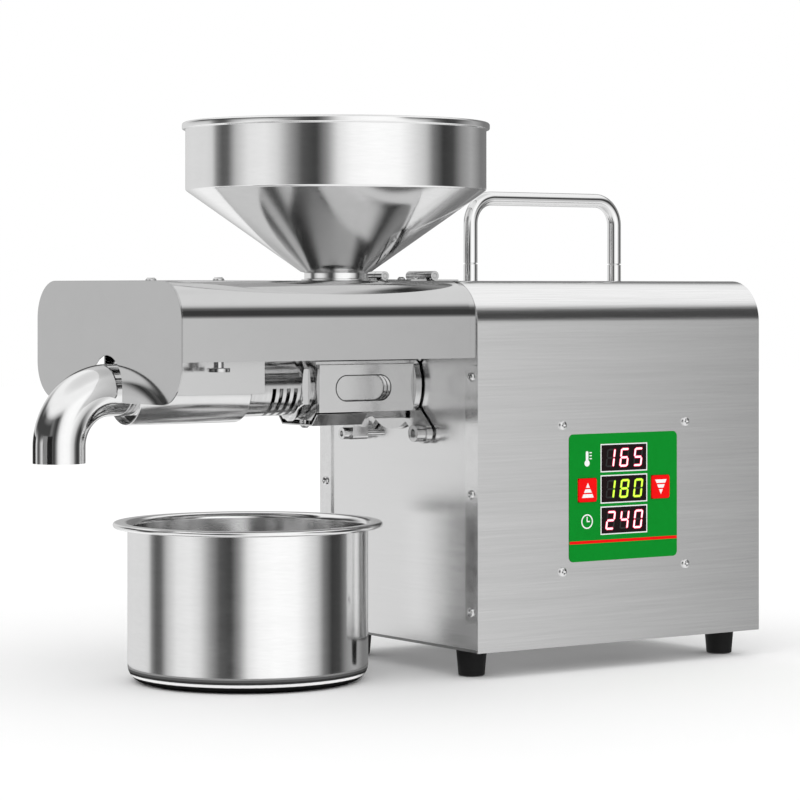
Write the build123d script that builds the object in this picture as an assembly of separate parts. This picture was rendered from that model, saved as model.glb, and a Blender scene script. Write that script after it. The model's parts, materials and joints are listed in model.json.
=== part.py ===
from build123d import *
import math
import os

# Frame: X runs along the press axis from the spout to the rear, Y across, Z up from the table.
# Lengths are millimetres. Places along X are given from the housing's front face.
face_x = 16.2

# Clearances, and how far a cutter runs past what it cuts
fit_gap = 0.2
thread_gap = 0.05
running_gap = 0.03
cut_over = 1.0

# Feet
foot_height = 20.0
foot_top_radius = 11.75
foot_bottom_radius = 10.0
foot_end_inset = 16.0
foot_side_inset = 30.0
foot_screw_radius = 2.0
foot_screw_head_radius = 4.2
foot_screw_head_height = 2.5
foot_counterbore_depth = 9.0
foot_screw_proud = 4.0

# Housing
case_length = 278.0
case_width = 215.0
case_height = 278.0
case_bottom = foot_height
case_top = case_bottom + case_height
case_corner = 32.0
sheet = 1.5
base_thickness = 2.0
strip_width = 16.0
strip_low_inset = 22.5
strip_high_inset = 63.0
strip_low = case_bottom + strip_low_inset
strip_high = case_top - strip_high_inset
strip_corner = 5.0
strip_screw_inset = 8.4
strip_screw_low_inset = 7.5
strip_screw_high_inset = 9.0

# Small screws: heads are a cone over a short edge, as shares of the head
m3_radius = 1.5
pan_head_radius = 3.5
pan_head_height = 2.2
head_edge_share = 0.4
head_crown_share = 0.65
shell_screw_length = 8.0

# Handle
handle_front_x = 71.5
handle_span = 145.0
handle_bar_radius = 5.5
handle_bend = 20.0
handle_axis_height = 65.5
handle_post_height = 13.5
handle_groove = 1.0
handle_stud_radius = 3.0
handle_stud_proud = 2.0
handle_nut_flats = 10.0
handle_nut_height = 5.0

# Barrel block, on the press axis below the housing's top
axis_drop = 79.5
axis_z = case_top - axis_drop
block_length = 91.0
block_front_x = -block_length
barrel_bore = 16.25
barrel_wall = 5.75
barrel_radius = barrel_bore + barrel_wall
block_side_wall = 4.0
block_floor_wall = 3.5
block_roof_wall = 2.5
block_half_width = barrel_radius + block_side_wall
block_below_axis = barrel_radius + block_floor_wall
block_above_axis = barrel_radius + block_roof_wall
block_low = axis_z - block_below_axis
block_high = axis_z + block_above_axis
block_chamfer = 6.0
block_seal_length = 16.0
spigot_step = 2.0
spigot_radius = block_half_width - spigot_step
spigot_length = 3.0
heater_radius = 3.0
heater_length = 60.0
heater_side_inset = 5.5
heater_top_inset = 5.0
heater_y = block_half_width - heater_side_inset
heater_z = block_high - heater_top_inset
probe_radius = 2.0
probe_depth = 6.0
probe_proud = 5.0
probe_x = -22.0

# Slotted barrel, lock nut and press head
barrel_reach = 55.0
barrel_front_x = block_front_x - barrel_reach
barrel_seat = 15.0
slot_inset = 19.5
slot_count = 5
slot_pitch = 6.3
slot_width = 3.2
slot_top_drop = 1.0
slot_spine_half_width = 2.5
nut_gap = 2.5
nut_length = 7.5
nut_x1 = block_front_x - nut_gap
nut_x0 = nut_x1 - nut_length
nut_wall = 1.0
nut_flats = 2 * (barrel_radius + nut_wall)
nut_chamfer_length = 1.5
nut_chamfer_rise = 3.7
head_skirt = 2.75
head_socket_radius = barrel_bore + head_skirt
head_socket_depth = 8.0
nose_length = 24.0
nose_mouth_radius = 12.0

# Discharge sleeve and elbow spout
sleeve_length = 94.0
sleeve_front_x = barrel_front_x - sleeve_length
sleeve_wall = 1.5
sleeve_hub_length = 2.0
spout_radius = 19.0
sleeve_space = 7.0
sleeve_radius = spout_radius + sleeve_space
spout_wall = 1.5
spout_running_gap = 0.08
nose_radius = spout_radius - spout_wall - spout_running_gap
spout_bend = 40.0
spout_reach = 54.0
spout_drop = 51.8
spout_seat_gap = 4.0
spout_leg_x = sleeve_front_x - spout_reach
spout_mouth_z = axis_z - spout_drop
spout_ring_inset = 4.0
spout_ring_x = sleeve_front_x + spout_ring_inset
spout_ring_width = 6.0

# Bracket and mounting flange round the block
flange_thickness = 5.0
flange_rim = 9.0
flange_radius = block_half_width + flange_rim
flange_lobe_radius = 8.0
flange_bolt_side_gap = 15.6
flange_bolt_high_gap = 11.0
flange_bolt_y = block_half_width + flange_bolt_side_gap
flange_bolt_z = block_below_axis + flange_bolt_high_gap
bracket_gap = 0.5
bracket_sheet = 4.5
bracket_half_width = block_half_width + bracket_gap + bracket_sheet
bracket_below_axis = 19.5
bracket_above_axis = 16.5
bracket_low = axis_z - bracket_below_axis
bracket_high = axis_z + bracket_above_axis
window_length = 50.0
window_height = 19.4
window_inset = 15.0
window_drop = 1.5
window_front_x = block_front_x + window_inset
window_z = axis_z - window_drop
m8_radius = 4.0
m8_head_radius = 6.5
m8_head_length = 8.0
m8_grip = 12.0
m8_socket_flats = 6.0
m8_socket_depth = 4.0

# Oil tray under the block, and the lug with its cross pin and clamp screw
tray_sheet = 1.2
tray_length = 45.0
tray_below_block = 3.0
tray_depth = 9.0
tray_rear_x = block_front_x + tray_length
tray_floor_z = block_low - tray_below_block
tray_top_z = tray_floor_z + tray_depth
tray_floor_inset = 5.0
tray_top_reach = 3.0
tray_floor_half_width = block_half_width - tray_floor_inset
tray_top_half_width = block_half_width + tray_top_reach
tray_edge_width = 1.8
tray_fold_inset = 0.6
tray_screw_inset = 7.0
tray_screw_x = block_front_x + tray_screw_inset
tray_screw_bite = 2.0
tray_boss_radius = 4.0
lug_x = -37.5
lug_length = 14.0
lug_front_x = lug_x - lug_length / 2
lug_rear_x = lug_x + lug_length / 2
lug_half_width = 7.0
lug_drop = 16.5
lug_low = block_low - lug_drop
lug_corner = 3.0
cross_pin_radius = 4.2
cross_pin_length = 24.0
cross_pin_drop = 2.4
cross_pin_z = block_low - cross_pin_drop
clamp_screw_radius = 2.5
clamp_screw_drop = 11.8
clamp_screw_z = block_low - clamp_screw_drop
clamp_screw_end_x = -12.0
clamp_head_radius = 4.75
clamp_head_length = 6.0
clamp_socket_flats = 4.0
clamp_socket_depth = 3.0

# Barrel cover, hinged at the housing's top front edge
cover_side_inset = 0.5
cover_half_width = case_width / 2 - cover_side_inset
cover_front_reach = 14.0
cover_front_x = sleeve_front_x - cover_front_reach
cover_rear_x = -6.5
cover_edge_rise = 22.0
cover_low = axis_z + cover_edge_rise
cover_corner = 28.0
cover_sheet = 1.2
end_plate_drop = 8.7
end_plate_low = axis_z - end_plate_drop
end_plate_sheet = 1.2
arch_gap = 4.0
arch_half_width = spout_radius + arch_gap
arch_rise = 25.2
arch_top = axis_z + arch_rise
arch_flat = 0.02
collar_front_x = -14.0
collar_sheet = 1.2
hinge_play = 0.3
hinge_x = 1.3
hinge_radius = 3.65
hinge_z = case_top + hinge_radius + hinge_play
hinge_pin_radius = 1.8
hinge_length = 34.0
hinge_offset_y = 33.5
hinge_leaf_sheet = 1.2
hinge_leaf_reach = 22.0
hinge_screw_x = -12.0
hinge_screw_spacing = 18.0
hinge_screw_head_radius = 2.9
hinge_screw_head_height = 1.9
hinge_screw_proud = 0.1
hinge_knuckle_share = 0.4

# Long cover screws, sleeve nuts and heat shield. The shield's ears lie on the sleeve nuts' upper ends.
cover_screw_inset = 64.0
cover_screw_x = cover_front_x + cover_screw_inset
cover_screw_radius = 2.5
cover_screw_head_radius = 4.2
cover_screw_head_height = 2.4
sleeve_nut_radius = 3.8
sleeve_nut_flange_radius = 8.35
sleeve_nut_flange = 3.0
sleeve_nut_rise = 13.0
sleeve_nut_low = axis_z + sleeve_nut_rise
shield_front_x = sleeve_front_x
shield_overlap = 7.0
shield_rear_x = barrel_front_x + shield_overlap
shield_side_gap = 5.0
shield_half_width = sleeve_radius + shield_side_gap
cover_screw_gap = 18.0
cover_screw_y = shield_half_width + cover_screw_gap
shield_drop = 4.2
shield_low = axis_z - shield_drop
shield_sheet = 1.5
shield_ear_height = 10.5
shield_ear_z = sleeve_nut_low + shield_ear_height
shield_ear_length = 16.0

# Hopper and feed throat
hopper_inset = 35.4
hopper_x = block_front_x + hopper_inset
hopper_rim_rise = 120.5
hopper_rim_z = case_top + hopper_rim_rise
hopper_radius = 114.9
hopper_bead_radius = 2.8
hopper_wall = 1.2
hopper_cone_top_rise = 69.0
hopper_cone_low_rise = 7.0
hopper_cone_top_z = case_top + hopper_cone_top_rise
hopper_cone_low_z = case_top + hopper_cone_low_rise
hopper_neck_radius = 24.2
hopper_neck_step = 2.8
hopper_cone_low_radius = hopper_neck_radius + hopper_neck_step
hopper_cone_step = 0.5
hopper_neck_depth = 13.0
hopper_neck_low_z = case_top - hopper_neck_depth
hopper_flange_reach = 2.3
hopper_flange_radius = hopper_neck_radius + hopper_flange_reach
hopper_flange_height = 1.2
hopper_seat_gap = 0.2
hopper_hole_gap = 0.6
throat_gap = 0.3
throat_top_z = hopper_neck_low_z - throat_gap
throat_mouth_reach = 0.8
throat_wall = 3.0
throat_mouth_radius = hopper_neck_radius + throat_mouth_reach
throat_radius = throat_mouth_radius + throat_wall
throat_cone_rise = 12.0
feed_port_radius = 12.0

# Press screw
screw_tail_gap = 1.0
screw_tail_x = -block_seal_length - screw_tail_gap
screw_drive_flats = 14.0
screw_tip_reach = 3.0
screw_tip_x = barrel_front_x - screw_tip_reach
screw_flight_gap = 0.25
screw_flight_radius = barrel_bore - screw_flight_gap
screw_root_press = 12.2
screw_root_middle = 10.4
screw_root_feed = 8.4
screw_step_length = 32.0
screw_tip_taper = 0.6
screw_collar_length = 4.0
screw_collar_gap = 0.3
screw_drive_length = 24.0
screw_socket_spare = 2.0
screw_pitch = 28.0
screw_flight_inset = 4.0
screw_flight_front_x = barrel_front_x + screw_flight_inset
screw_flight_thickness = 3.4

# Gear train: module, teeth and faces, with the tooth's height above and below its pitch line in modules
gear_module = 2.0
output_teeth = 46
pinion_teeth = 14
idler_teeth = 42
undercut_teeth = 20
tooth_addendum = 0.95
tooth_dedendum = 1.2
flank_start_rise = 0.1
gear_face = 14.0
pinion_extra = 2.0
gear_backlash = 0.12
pressure_angle = 20.0
idler_z = axis_z - gear_module * (output_teeth + pinion_teeth) / 2
motor_z = idler_z - gear_module * (idler_teeth + pinion_teeth) / 2
output_shaft_radius = 12.47
output_shaft_inset = 3.0
output_shaft_front_x = output_shaft_inset - block_seal_length
idler_shaft_radius = 5.97
motor_shaft_radius = 5.97

# Gearbox case, behind the front plate
gearcase_front_x = 2 * sheet
gearcase_wall = 12.0
first_mesh_gap = 4.0
mesh_gap = 6.0
first_mesh_x = gearcase_front_x + gearcase_wall + first_mesh_gap
second_mesh_x = first_mesh_x + gear_face + mesh_gap
gearcase_end_x = second_mesh_x + gear_face + mesh_gap
gearcase_half_width = 58.0
gearcase_below_motor = 24.5
gearcase_above_axis = 56.5
gearcase_low = motor_z - gearcase_below_motor
gearcase_high = axis_z + gearcase_above_axis
gearcase_side_wall = 5.0
gearcase_corner = 18.0
gearcase_cover_thickness = 12.0
output_shaft_end_x = gearcase_end_x + gearcase_cover_thickness
big_bearing_radius = 23.5
small_bearing_radius = 16.0
small_bearing_width = 10.0
idler_end_gap = 1.0
idler_seat_wall = 0.5

# Motor
motor_radius = 46.0
motor_wall = 3.0
motor_length = 120.0
motor_start_x = gearcase_end_x + gearcase_cover_thickness
motor_end_x = motor_start_x + motor_length
motor_middle_x = motor_start_x + motor_length / 2
end_bell_length = 16.0
stator_space = 13.0
rotor_radius = motor_radius - motor_wall - stator_space
rotor_end_gap = 2.0
rotor_length = motor_length - 2 * (end_bell_length + rotor_end_gap)
fan_edge_inset = 6.0
fan_radius = motor_radius - fan_edge_inset
fan_width = 14.0
fan_hub_radius = 11.0
fan_blades = 8
fan_blade_thickness = 2.0
fan_gap = 6.0
cradle_half_width = 40.0
cradle_end_inset = 15.0
cradle_length = motor_length - 2 * cradle_end_inset
cradle_wall = 10.0

# Control panel on the -Y side
panel_shift = 0.2
panel_x = case_length / 2 + panel_shift
panel_rise = 63.5
panel_low = case_bottom + panel_rise
panel_corner = 4.0
panel_sheet = 0.6
window_width = 44.0
display_height = 19.6
display_space = 4.4
display_pitch = display_height + display_space
display_depth = 3.2
display_proud = 0.5
display_module_inset = 3.0
button_size = 18.0
button_corner = 2.0
button_space = 5.15
button_offset_x = (window_width + button_size) / 2 + button_space
button_rise = 54.5
button_z = panel_low + button_rise
panel_side_margin = 8.05
panel_top_margin = 9.2
panel_width = 2 * (button_offset_x + panel_side_margin) + button_size
panel_height = button_rise + display_pitch + display_height / 2 + panel_top_margin
display_rows = (button_z + display_pitch, button_z, button_z - display_pitch)
button_proud = 0.9
button_travel = 0.8
button_flange = 1.5
button_flange_thickness = 1.0
key_gap = 0.2
key_post_radius = 3.0
panel_screw_shift = 1.25
panel_screw_side_gap = 7.55
panel_screw_low_gap = 6.8
panel_screw_high_gap = 7.1
board_margin = 5.5
board_thickness = 1.6
board_bite = 0.5
board_y = 9.0
board_post_radius = 3.5
switch_post_gap = 0.1

# Rear fittings
rocker_width = 13.0
rocker_height = 19.0
rocker_thickness = 6.0
rocker_pocket_gap = 1.0
switch_wall = 4.0
switch_width = rocker_width + 2 * switch_wall
switch_height = rocker_height + 2 * switch_wall
switch_depth = 22.0
switch_bezel = 2.0
switch_bezel_lip = 2.0
switch_side_inset = 45.5
switch_spacing = 34.0
power_switch_y = switch_side_inset - case_width / 2
motor_switch_y = power_switch_y + switch_spacing
switch_rise = 42.0
switch_z = case_bottom + switch_rise
rocker_rest_tilt = 10.0
rocker_pivot_depth = 2.0
rocker_tip_rise = 2.0
rocker_valley_rise = 0.2
rocker_pin_reach = 1.8
rocker_pin_radius = 1.5
inlet_spacing = 58.0
inlet_y = motor_switch_y + inlet_spacing
inlet_width = 27.0
inlet_height = 20.0
inlet_flange_width = 50.0
inlet_flange_height = 24.0
inlet_flange_thickness = 2.5
inlet_flange_corner = 5.0
inlet_depth = 20.0
inlet_wall = 2.0
inlet_pin_spacing = 7.0
inlet_pin_offset = 2.0
inlet_pin_thickness = 2.0
inlet_pin_width = 4.0
inlet_pin_recess = 2.0
vent_slots = 7
vent_pitch = 14.0
vent_length = 60.0
vent_width = 4.0
vent_rise = 130.0
vent_z = case_bottom + vent_rise
base_vent_slots = 5
base_vent_pitch = 24.0
base_vent_edge = 5.8

# Bowl
bowl_x = -134.5
bowl_radius = 90.0
bowl_rim_reach = 9.0
bowl_height = 118.0
bowl_corner = 12.0
bowl_wall = 1.5
bowl_lip_radius = 2.0


def span(x0, x1, y0, y1, z0, z1):
    """A box between two corners, X measured from the housing's front face."""
    return Pos(face_x + (x0 + x1) / 2, (y0 + y1) / 2, (z0 + z1) / 2) * Box(x1 - x0, y1 - y0, z1 - z0)


def rod_x(x0, x1, radius, y=0.0, z=axis_z):
    return Pos(face_x + (x0 + x1) / 2, y, z) * Rot(0, 90, 0) * Cylinder(radius, x1 - x0)


def rod_y(y0, y1, radius, x, z):
    return Pos(face_x + x, (y0 + y1) / 2, z) * Rot(90, 0, 0) * Cylinder(radius, y1 - y0)


def rod_z(z0, z1, radius, x, y=0.0):
    return Pos(face_x + x, y, (z0 + z1) / 2) * Cylinder(radius, z1 - z0)


def hex_x(x0, x1, flats, y=0.0, z=axis_z):
    across = RegularPolygon(flats / 2, 6, major_radius=False)
    return Pos(face_x + x0, y, z) * Rot(0, 90, 0) * extrude(across, x1 - x0)


def section_x(x0, x1, sketch):
    """Extrudes a sketch drawn in Y (its X) and Z (its Y) from x0 to x1."""
    plane = Plane(origin=(face_x + x0, 0, 0), x_dir=(0, 1, 0), z_dir=(1, 0, 0))
    return extrude(plane * sketch, x1 - x0)


def turned_x(profile, y=0.0, z=axis_z):
    """Turns (x, radius) points about an axis along X."""
    wire = Polyline(*[(x, radius) for x, radius in profile], close=True)
    return Pos(face_x, y, z) * Rot(90, 0, 0) * revolve(make_face(wire), Axis.X)


def turned_z(profile, x, y=0.0):
    """Turns (radius, z) points about a vertical axis."""
    wire = Polyline(*[(radius, z) for radius, z in profile], close=True)
    return Pos(face_x + x, y, 0) * revolve(Plane.XZ * make_face(wire), Axis.Z)


def pan_screw(head_radius, head_height, shank_radius, shank_length):
    """A screw with its head above z = 0 and its shank below, turned in one piece."""
    outline = Polyline(
        (0, -shank_length),
        (shank_radius, -shank_length),
        (shank_radius, 0),
        (head_radius, 0),
        (head_radius, head_height * head_edge_share),
        (head_radius * head_crown_share, head_height),
        (0, head_height),
        close=True,
    )
    return revolve(Plane.XZ * make_face(outline), Axis.Z)


def arch_sketch(half_width, low, high, corner):
    """An upside-down U outline: straight sides and rounded top corners."""
    box = Pos(0, (low + high) / 2) * Rectangle(2 * half_width, high - low)
    return fillet(box.vertices().group_by(Axis.Y)[-1], corner)


def u_sheet(half_width, low, high, corner, wall):
    inner = arch_sketch(half_width - wall, low, high - wall, corner - wall)
    return arch_sketch(half_width, low, high, corner) - inner


def mirrored(solid):
    return mirror(solid, about=Plane.XZ)


def wrap_shell():
    half = case_width / 2
    body = section_x(0, case_length, u_sheet(half, case_bottom, case_top, case_corner, sheet))
    height = strip_high - strip_low
    middle = (strip_low + strip_high) / 2
    strip_sketch = Pos(half - strip_width / 2, middle) * RectangleRounded(strip_width, height, strip_corner)
    strip_sketch += Pos(half - sheet / 2, middle) * Rectangle(sheet, height)
    for x0 in (0, case_length - sheet):
        strip = section_x(x0, x0 + sheet, strip_sketch)
        body += strip
        body += mirrored(strip)
        for y, z in strip_screw_places():
            body -= rod_x(x0 - cut_over, x0 + sheet + cut_over, m3_radius + thread_gap, y, z)
    for x in (handle_front_x, handle_front_x + handle_span):
        body -= rod_z(case_top - 3 * sheet, case_top + cut_over, handle_stud_radius + thread_gap, x)
    low_y = -half - cut_over
    for z in display_rows:
        body -= span(
            panel_x - window_width / 2 - key_gap,
            panel_x + window_width / 2 + key_gap,
            low_y,
            low_y + 3 * sheet,
            z - display_height / 2 - key_gap,
            z + display_height / 2 + key_gap,
        )
    for side in (-1, 1):
        body -= button_block(side, button_size + 2 * key_gap, low_y, low_y + 3 * sheet)
    for x, z in panel_screw_places():
        body -= rod_y(low_y, low_y + 3 * sheet, m3_radius + thread_gap, x, z)
    return body


def plate_sketch():
    """The outline of the front and rear plates, inside the wrap."""
    half = case_width / 2 - sheet - fit_gap
    low = case_bottom + base_thickness
    return arch_sketch(half, low, case_top - sheet - fit_gap, case_corner - sheet - fit_gap)


def strip_screw_places():
    y_screw = case_width / 2 - strip_screw_inset
    low = strip_low + strip_screw_low_inset
    high = strip_high - strip_screw_high_inset
    return [(y, z) for y in (-y_screw, y_screw) for z in (low, (low + high) / 2, high)]


def flange_bolt_places():
    heights = (axis_z - flange_bolt_z, axis_z + flange_bolt_z)
    return [(y, z) for y in (-flange_bolt_y, flange_bolt_y) for z in heights]


def front_plate():
    plate = section_x(sheet, 2 * sheet, plate_sketch())
    plate -= rod_x(0, 3 * sheet, spigot_radius + fit_gap)
    for y, z in flange_bolt_places():
        plate -= rod_x(0, 3 * sheet, m8_radius + thread_gap, y, z)
    for y, z in strip_screw_places():
        plate -= rod_x(0, 3 * sheet, m3_radius + thread_gap, y, z)
    return plate


def rear_opening(x0, y, width, height):
    """A cutter through the rear plate for a switch or the inlet."""
    half_width = width / 2 + fit_gap
    half_height = height / 2 + fit_gap
    low = switch_z - half_height
    high = switch_z + half_height
    return span(x0 - cut_over, x0 + sheet + cut_over, y - half_width, y + half_width, low, high)


def rear_plate():
    x0 = case_length - 2 * sheet
    plate = section_x(x0, x0 + sheet, plate_sketch())
    for y, z in strip_screw_places():
        plate -= rod_x(x0 - cut_over, x0 + 2 * sheet, m3_radius + thread_gap, y, z)
    for y in (power_switch_y, motor_switch_y):
        plate -= rear_opening(x0, y, switch_width, switch_height)
    plate -= rear_opening(x0, inlet_y, inlet_width, inlet_height)
    for i in range(vent_slots):
        z = vent_z + (i - (vent_slots - 1) / 2) * vent_pitch
        slot = Pos(0, z) * SlotOverall(vent_length, vent_width)
        plate -= section_x(x0 - cut_over, x0 + 2 * sheet, slot)
    return plate


def foot_places():
    xs = (foot_end_inset, case_length - foot_end_inset)
    ys = (foot_side_inset - case_width / 2, case_width / 2 - foot_side_inset)
    return [(x, y) for x in xs for y in ys]


def base_plate():
    half = case_width / 2 - sheet - fit_gap
    plate = span(sheet, case_length - sheet, -half, half, case_bottom, case_bottom + base_thickness)
    low = case_bottom - cut_over
    high = case_bottom + base_thickness + cut_over
    for x, y in foot_places():
        plate -= rod_z(low, high, foot_screw_radius + thread_gap, x, y)
    vent_y1 = half - base_vent_edge
    vent_y0 = vent_y1 - vent_length
    for i in range(base_vent_slots):
        x = case_length / 2 + (i - (base_vent_slots - 1) / 2) * base_vent_pitch
        for y0, y1 in ((vent_y0, vent_y1), (-vent_y1, -vent_y0)):
            plate -= span(x - vent_width / 2, x + vent_width / 2, y0, y1, low, high)
    return plate


def feet():
    made = []
    for x, y in foot_places():
        profile = [
            (foot_screw_radius + thread_gap, foot_counterbore_depth),
            (foot_screw_head_radius + fit_gap, foot_counterbore_depth),
            (foot_screw_head_radius + fit_gap, 0),
            (foot_bottom_radius, 0),
            (foot_top_radius, foot_height),
            (foot_screw_radius + thread_gap, foot_height),
        ]
        made.append(turned_z(profile, x, y))
    return made


def foot_screws():
    made = []
    length = case_bottom + base_thickness + foot_screw_proud - foot_counterbore_depth
    screw = pan_screw(foot_screw_head_radius, foot_screw_head_height, foot_screw_radius, length)
    for x, y in foot_places():
        made.append(Pos(face_x + x, y, foot_counterbore_depth) * Rot(180, 0, 0) * screw)
    return made


def shell_screws():
    made = []
    screw = pan_screw(pan_head_radius, pan_head_height, m3_radius, shell_screw_length)
    for y, z in strip_screw_places():
        made.append(Pos(face_x, y, z) * Rot(0, -90, 0) * screw)
        made.append(Pos(face_x + case_length, y, z) * Rot(0, 90, 0) * screw)
    return made


def handle_bar():
    low = case_top + handle_post_height + handle_groove
    high = case_top + handle_axis_height
    x0 = face_x + handle_front_x
    x1 = x0 + handle_span
    path = FilletPolyline((x0, 0, low), (x0, 0, high), (x1, 0, high), (x1, 0, low), radius=handle_bend)
    return sweep(Plane(origin=(x0, 0, low), z_dir=(0, 0, 1)) * Circle(handle_bar_radius), path)


def handle_posts():
    made = []
    top = case_top + handle_post_height
    low = case_top - sheet - handle_nut_height - handle_stud_proud
    for x in (handle_front_x, handle_front_x + handle_span):
        post = rod_z(case_top, top, handle_bar_radius, x)
        post += rod_z(top, top + handle_groove, handle_bar_radius - handle_groove, x)
        made.append(post + rod_z(low, case_top, handle_stud_radius, x))
    return made


def handle_nuts():
    made = []
    nut = RegularPolygon(handle_nut_flats / 2, 6, major_radius=False)
    nut -= Circle(handle_stud_radius + thread_gap)
    low = case_top - sheet - handle_nut_height
    for x in (handle_front_x, handle_front_x + handle_span):
        made.append(Pos(face_x + x, 0, low) * extrude(nut, handle_nut_height))
    return made


def cover_collar():
    inset = cover_sheet + fit_gap
    ring = u_sheet(cover_half_width - inset, cover_low, case_top - inset, cover_corner - inset, collar_sheet)
    return section_x(collar_front_x, 0, ring)


def barrel_cover():
    ring = u_sheet(cover_half_width, cover_low, case_top, cover_corner, cover_sheet)
    body = section_x(cover_front_x, cover_rear_x, ring)
    low = case_top - cover_sheet - cut_over
    high = case_top + cut_over
    body -= rod_z(low, high, hopper_neck_radius + hopper_hole_gap, hopper_x)
    for y in (-cover_screw_y, cover_screw_y):
        body -= rod_z(low, high, cover_screw_radius + thread_gap, cover_screw_x, y)
    for y in hinge_screw_ys():
        body -= rod_z(low, high, m3_radius + thread_gap, hinge_screw_x, y)
    return body


def cover_end_plate():
    height = case_top - end_plate_low
    plate = RectangleRounded(2 * cover_half_width, height, cover_corner)
    plate = Pos(0, (case_top + end_plate_low) / 2) * plate
    notch = arch_sketch(arch_half_width, end_plate_low - cut_over, arch_top, arch_half_width - arch_flat)
    return section_x(cover_front_x - end_plate_sheet, cover_front_x, plate - notch)


def cover_screws():
    length = case_top - sleeve_nut_low
    screw = pan_screw(cover_screw_head_radius, cover_screw_head_height, cover_screw_radius, length)
    return [Pos(face_x + cover_screw_x, y, case_top) * screw for y in (-cover_screw_y, cover_screw_y)]


def sleeve_nuts():
    """Flanged nuts that the long cover screws run into, turned in one piece."""
    hole = cover_screw_radius + thread_gap
    flange_top = sleeve_nut_low + sleeve_nut_flange
    profile = [
        (hole, sleeve_nut_low),
        (sleeve_nut_flange_radius, sleeve_nut_low),
        (sleeve_nut_flange_radius, flange_top),
        (sleeve_nut_radius, flange_top),
        (sleeve_nut_radius, shield_ear_z),
        (hole, shield_ear_z),
    ]
    return [turned_z(profile, cover_screw_x, y) for y in (-cover_screw_y, cover_screw_y)]


def heat_shield():
    """A channel over the sleeve, with an ear each side under the long cover screws."""
    web_top = axis_z + sleeve_radius + hinge_play + shield_sheet
    outer = Pos(0, (shield_low + web_top) / 2) * Rectangle(2 * shield_half_width, web_top - shield_low)
    inner_half = shield_half_width - shield_sheet
    inner_top = web_top - shield_sheet
    inner_low = shield_low - cut_over
    inner = Pos(0, (inner_low + inner_top) / 2) * Rectangle(2 * inner_half, inner_top - inner_low)
    body = section_x(shield_front_x, shield_rear_x, outer - inner)
    reach = cover_screw_y + sleeve_nut_flange_radius
    ear_top = shield_ear_z + shield_sheet
    x0 = cover_screw_x - shield_ear_length / 2
    x1 = cover_screw_x + shield_ear_length / 2
    for side in (-1, 1):
        y0, y1 = sorted((side * (shield_half_width - shield_sheet / 2), side * reach))
        ear = span(x0, x1, y0, y1, shield_ear_z, ear_top)
        hole = cover_screw_radius + thread_gap
        low = shield_ear_z - cut_over
        ear -= rod_z(low, ear_top + cut_over, hole, cover_screw_x, side * cover_screw_y)
        body += ear
    return body


def hinge_screw_ys():
    half = hinge_screw_spacing / 2
    return [side * hinge_offset_y + dy for side in (-1, 1) for dy in (-half, half)]


def knuckle(y0, y1):
    return rod_y(y0, y1, hinge_radius, hinge_x, hinge_z)


def cover_hinges():
    """The moving halves: a leaf on the cover and the middle knuckle."""
    made = []
    half = hinge_length * hinge_knuckle_share / 2
    for side in (-1, 1):
        y = side * hinge_offset_y
        leaf = span(
            hinge_x - hinge_leaf_reach,
            cover_rear_x,
            y - hinge_length / 2,
            y + hinge_length / 2,
            case_top,
            case_top + hinge_leaf_sheet,
        )
        low = case_top + hinge_play
        leaf += span(cover_rear_x, hinge_x, y - half, y + half, low, low + hinge_leaf_sheet)
        leaf += knuckle(y - half, y + half)
        leaf -= rod_y(y - hinge_length, y + hinge_length, hinge_pin_radius + thread_gap, hinge_x, hinge_z)
        for dy in (-hinge_screw_spacing / 2, hinge_screw_spacing / 2):
            top = case_top + hinge_leaf_sheet + cut_over
            leaf -= rod_z(case_top - cut_over, top, m3_radius + thread_gap, hinge_screw_x, y + dy)
        made.append(leaf)
    return made


def housing_hinges():
    """The fixed halves: a leaf on the housing's top and the two outer knuckles."""
    made = []
    half = hinge_length * hinge_knuckle_share / 2 + hinge_play
    for side in (-1, 1):
        y = side * hinge_offset_y
        leaf = span(
            hinge_x + hinge_radius + hinge_play,
            hinge_x + hinge_leaf_reach,
            y - hinge_length / 2,
            y + hinge_length / 2,
            case_top,
            case_top + hinge_leaf_sheet,
        )
        for y0, y1 in ((y - hinge_length / 2, y - half), (y + half, y + hinge_length / 2)):
            leaf += knuckle(y0, y1)
            leaf += span(hinge_x, hinge_x + 2 * hinge_radius, y0, y1, case_top, case_top + hinge_leaf_sheet)
        leaf -= rod_y(y - hinge_length, y + hinge_length, hinge_pin_radius + thread_gap, hinge_x, hinge_z)
        made.append(leaf)
    return made


def hinge_pins():
    made = []
    for side in (-1, 1):
        y = side * hinge_offset_y
        made.append(rod_y(y - hinge_length / 2, y + hinge_length / 2, hinge_pin_radius, hinge_x, hinge_z))
    return made


def hinge_screws():
    seat = case_top + hinge_leaf_sheet
    length = hinge_leaf_sheet + cover_sheet + hinge_screw_proud
    screw = pan_screw(hinge_screw_head_radius, hinge_screw_head_height, m3_radius, length)
    return [Pos(face_x + hinge_screw_x, y, seat) * screw for y in hinge_screw_ys()]


def slotted_barrel():
    """The barrel tube, with oil slots sawn in from below on both sides of a spine."""
    rear = block_front_x + barrel_seat
    tube = rod_x(barrel_front_x, rear, barrel_radius)
    tube -= rod_x(barrel_front_x - cut_over, rear + cut_over, barrel_bore)
    tube -= rod_x(barrel_front_x - cut_over, barrel_front_x + head_socket_depth, head_socket_radius)
    slot_top = axis_z - slot_top_drop
    slot_low = axis_z - barrel_radius - cut_over
    for i in range(slot_count):
        x = barrel_front_x + slot_inset + i * slot_pitch
        for side in (-1, 1):
            y0, y1 = sorted((side * slot_spine_half_width, side * (barrel_radius + cut_over)))
            tube -= span(x, x + slot_width, y0, y1, slot_low, slot_top)
    return tube


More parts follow.
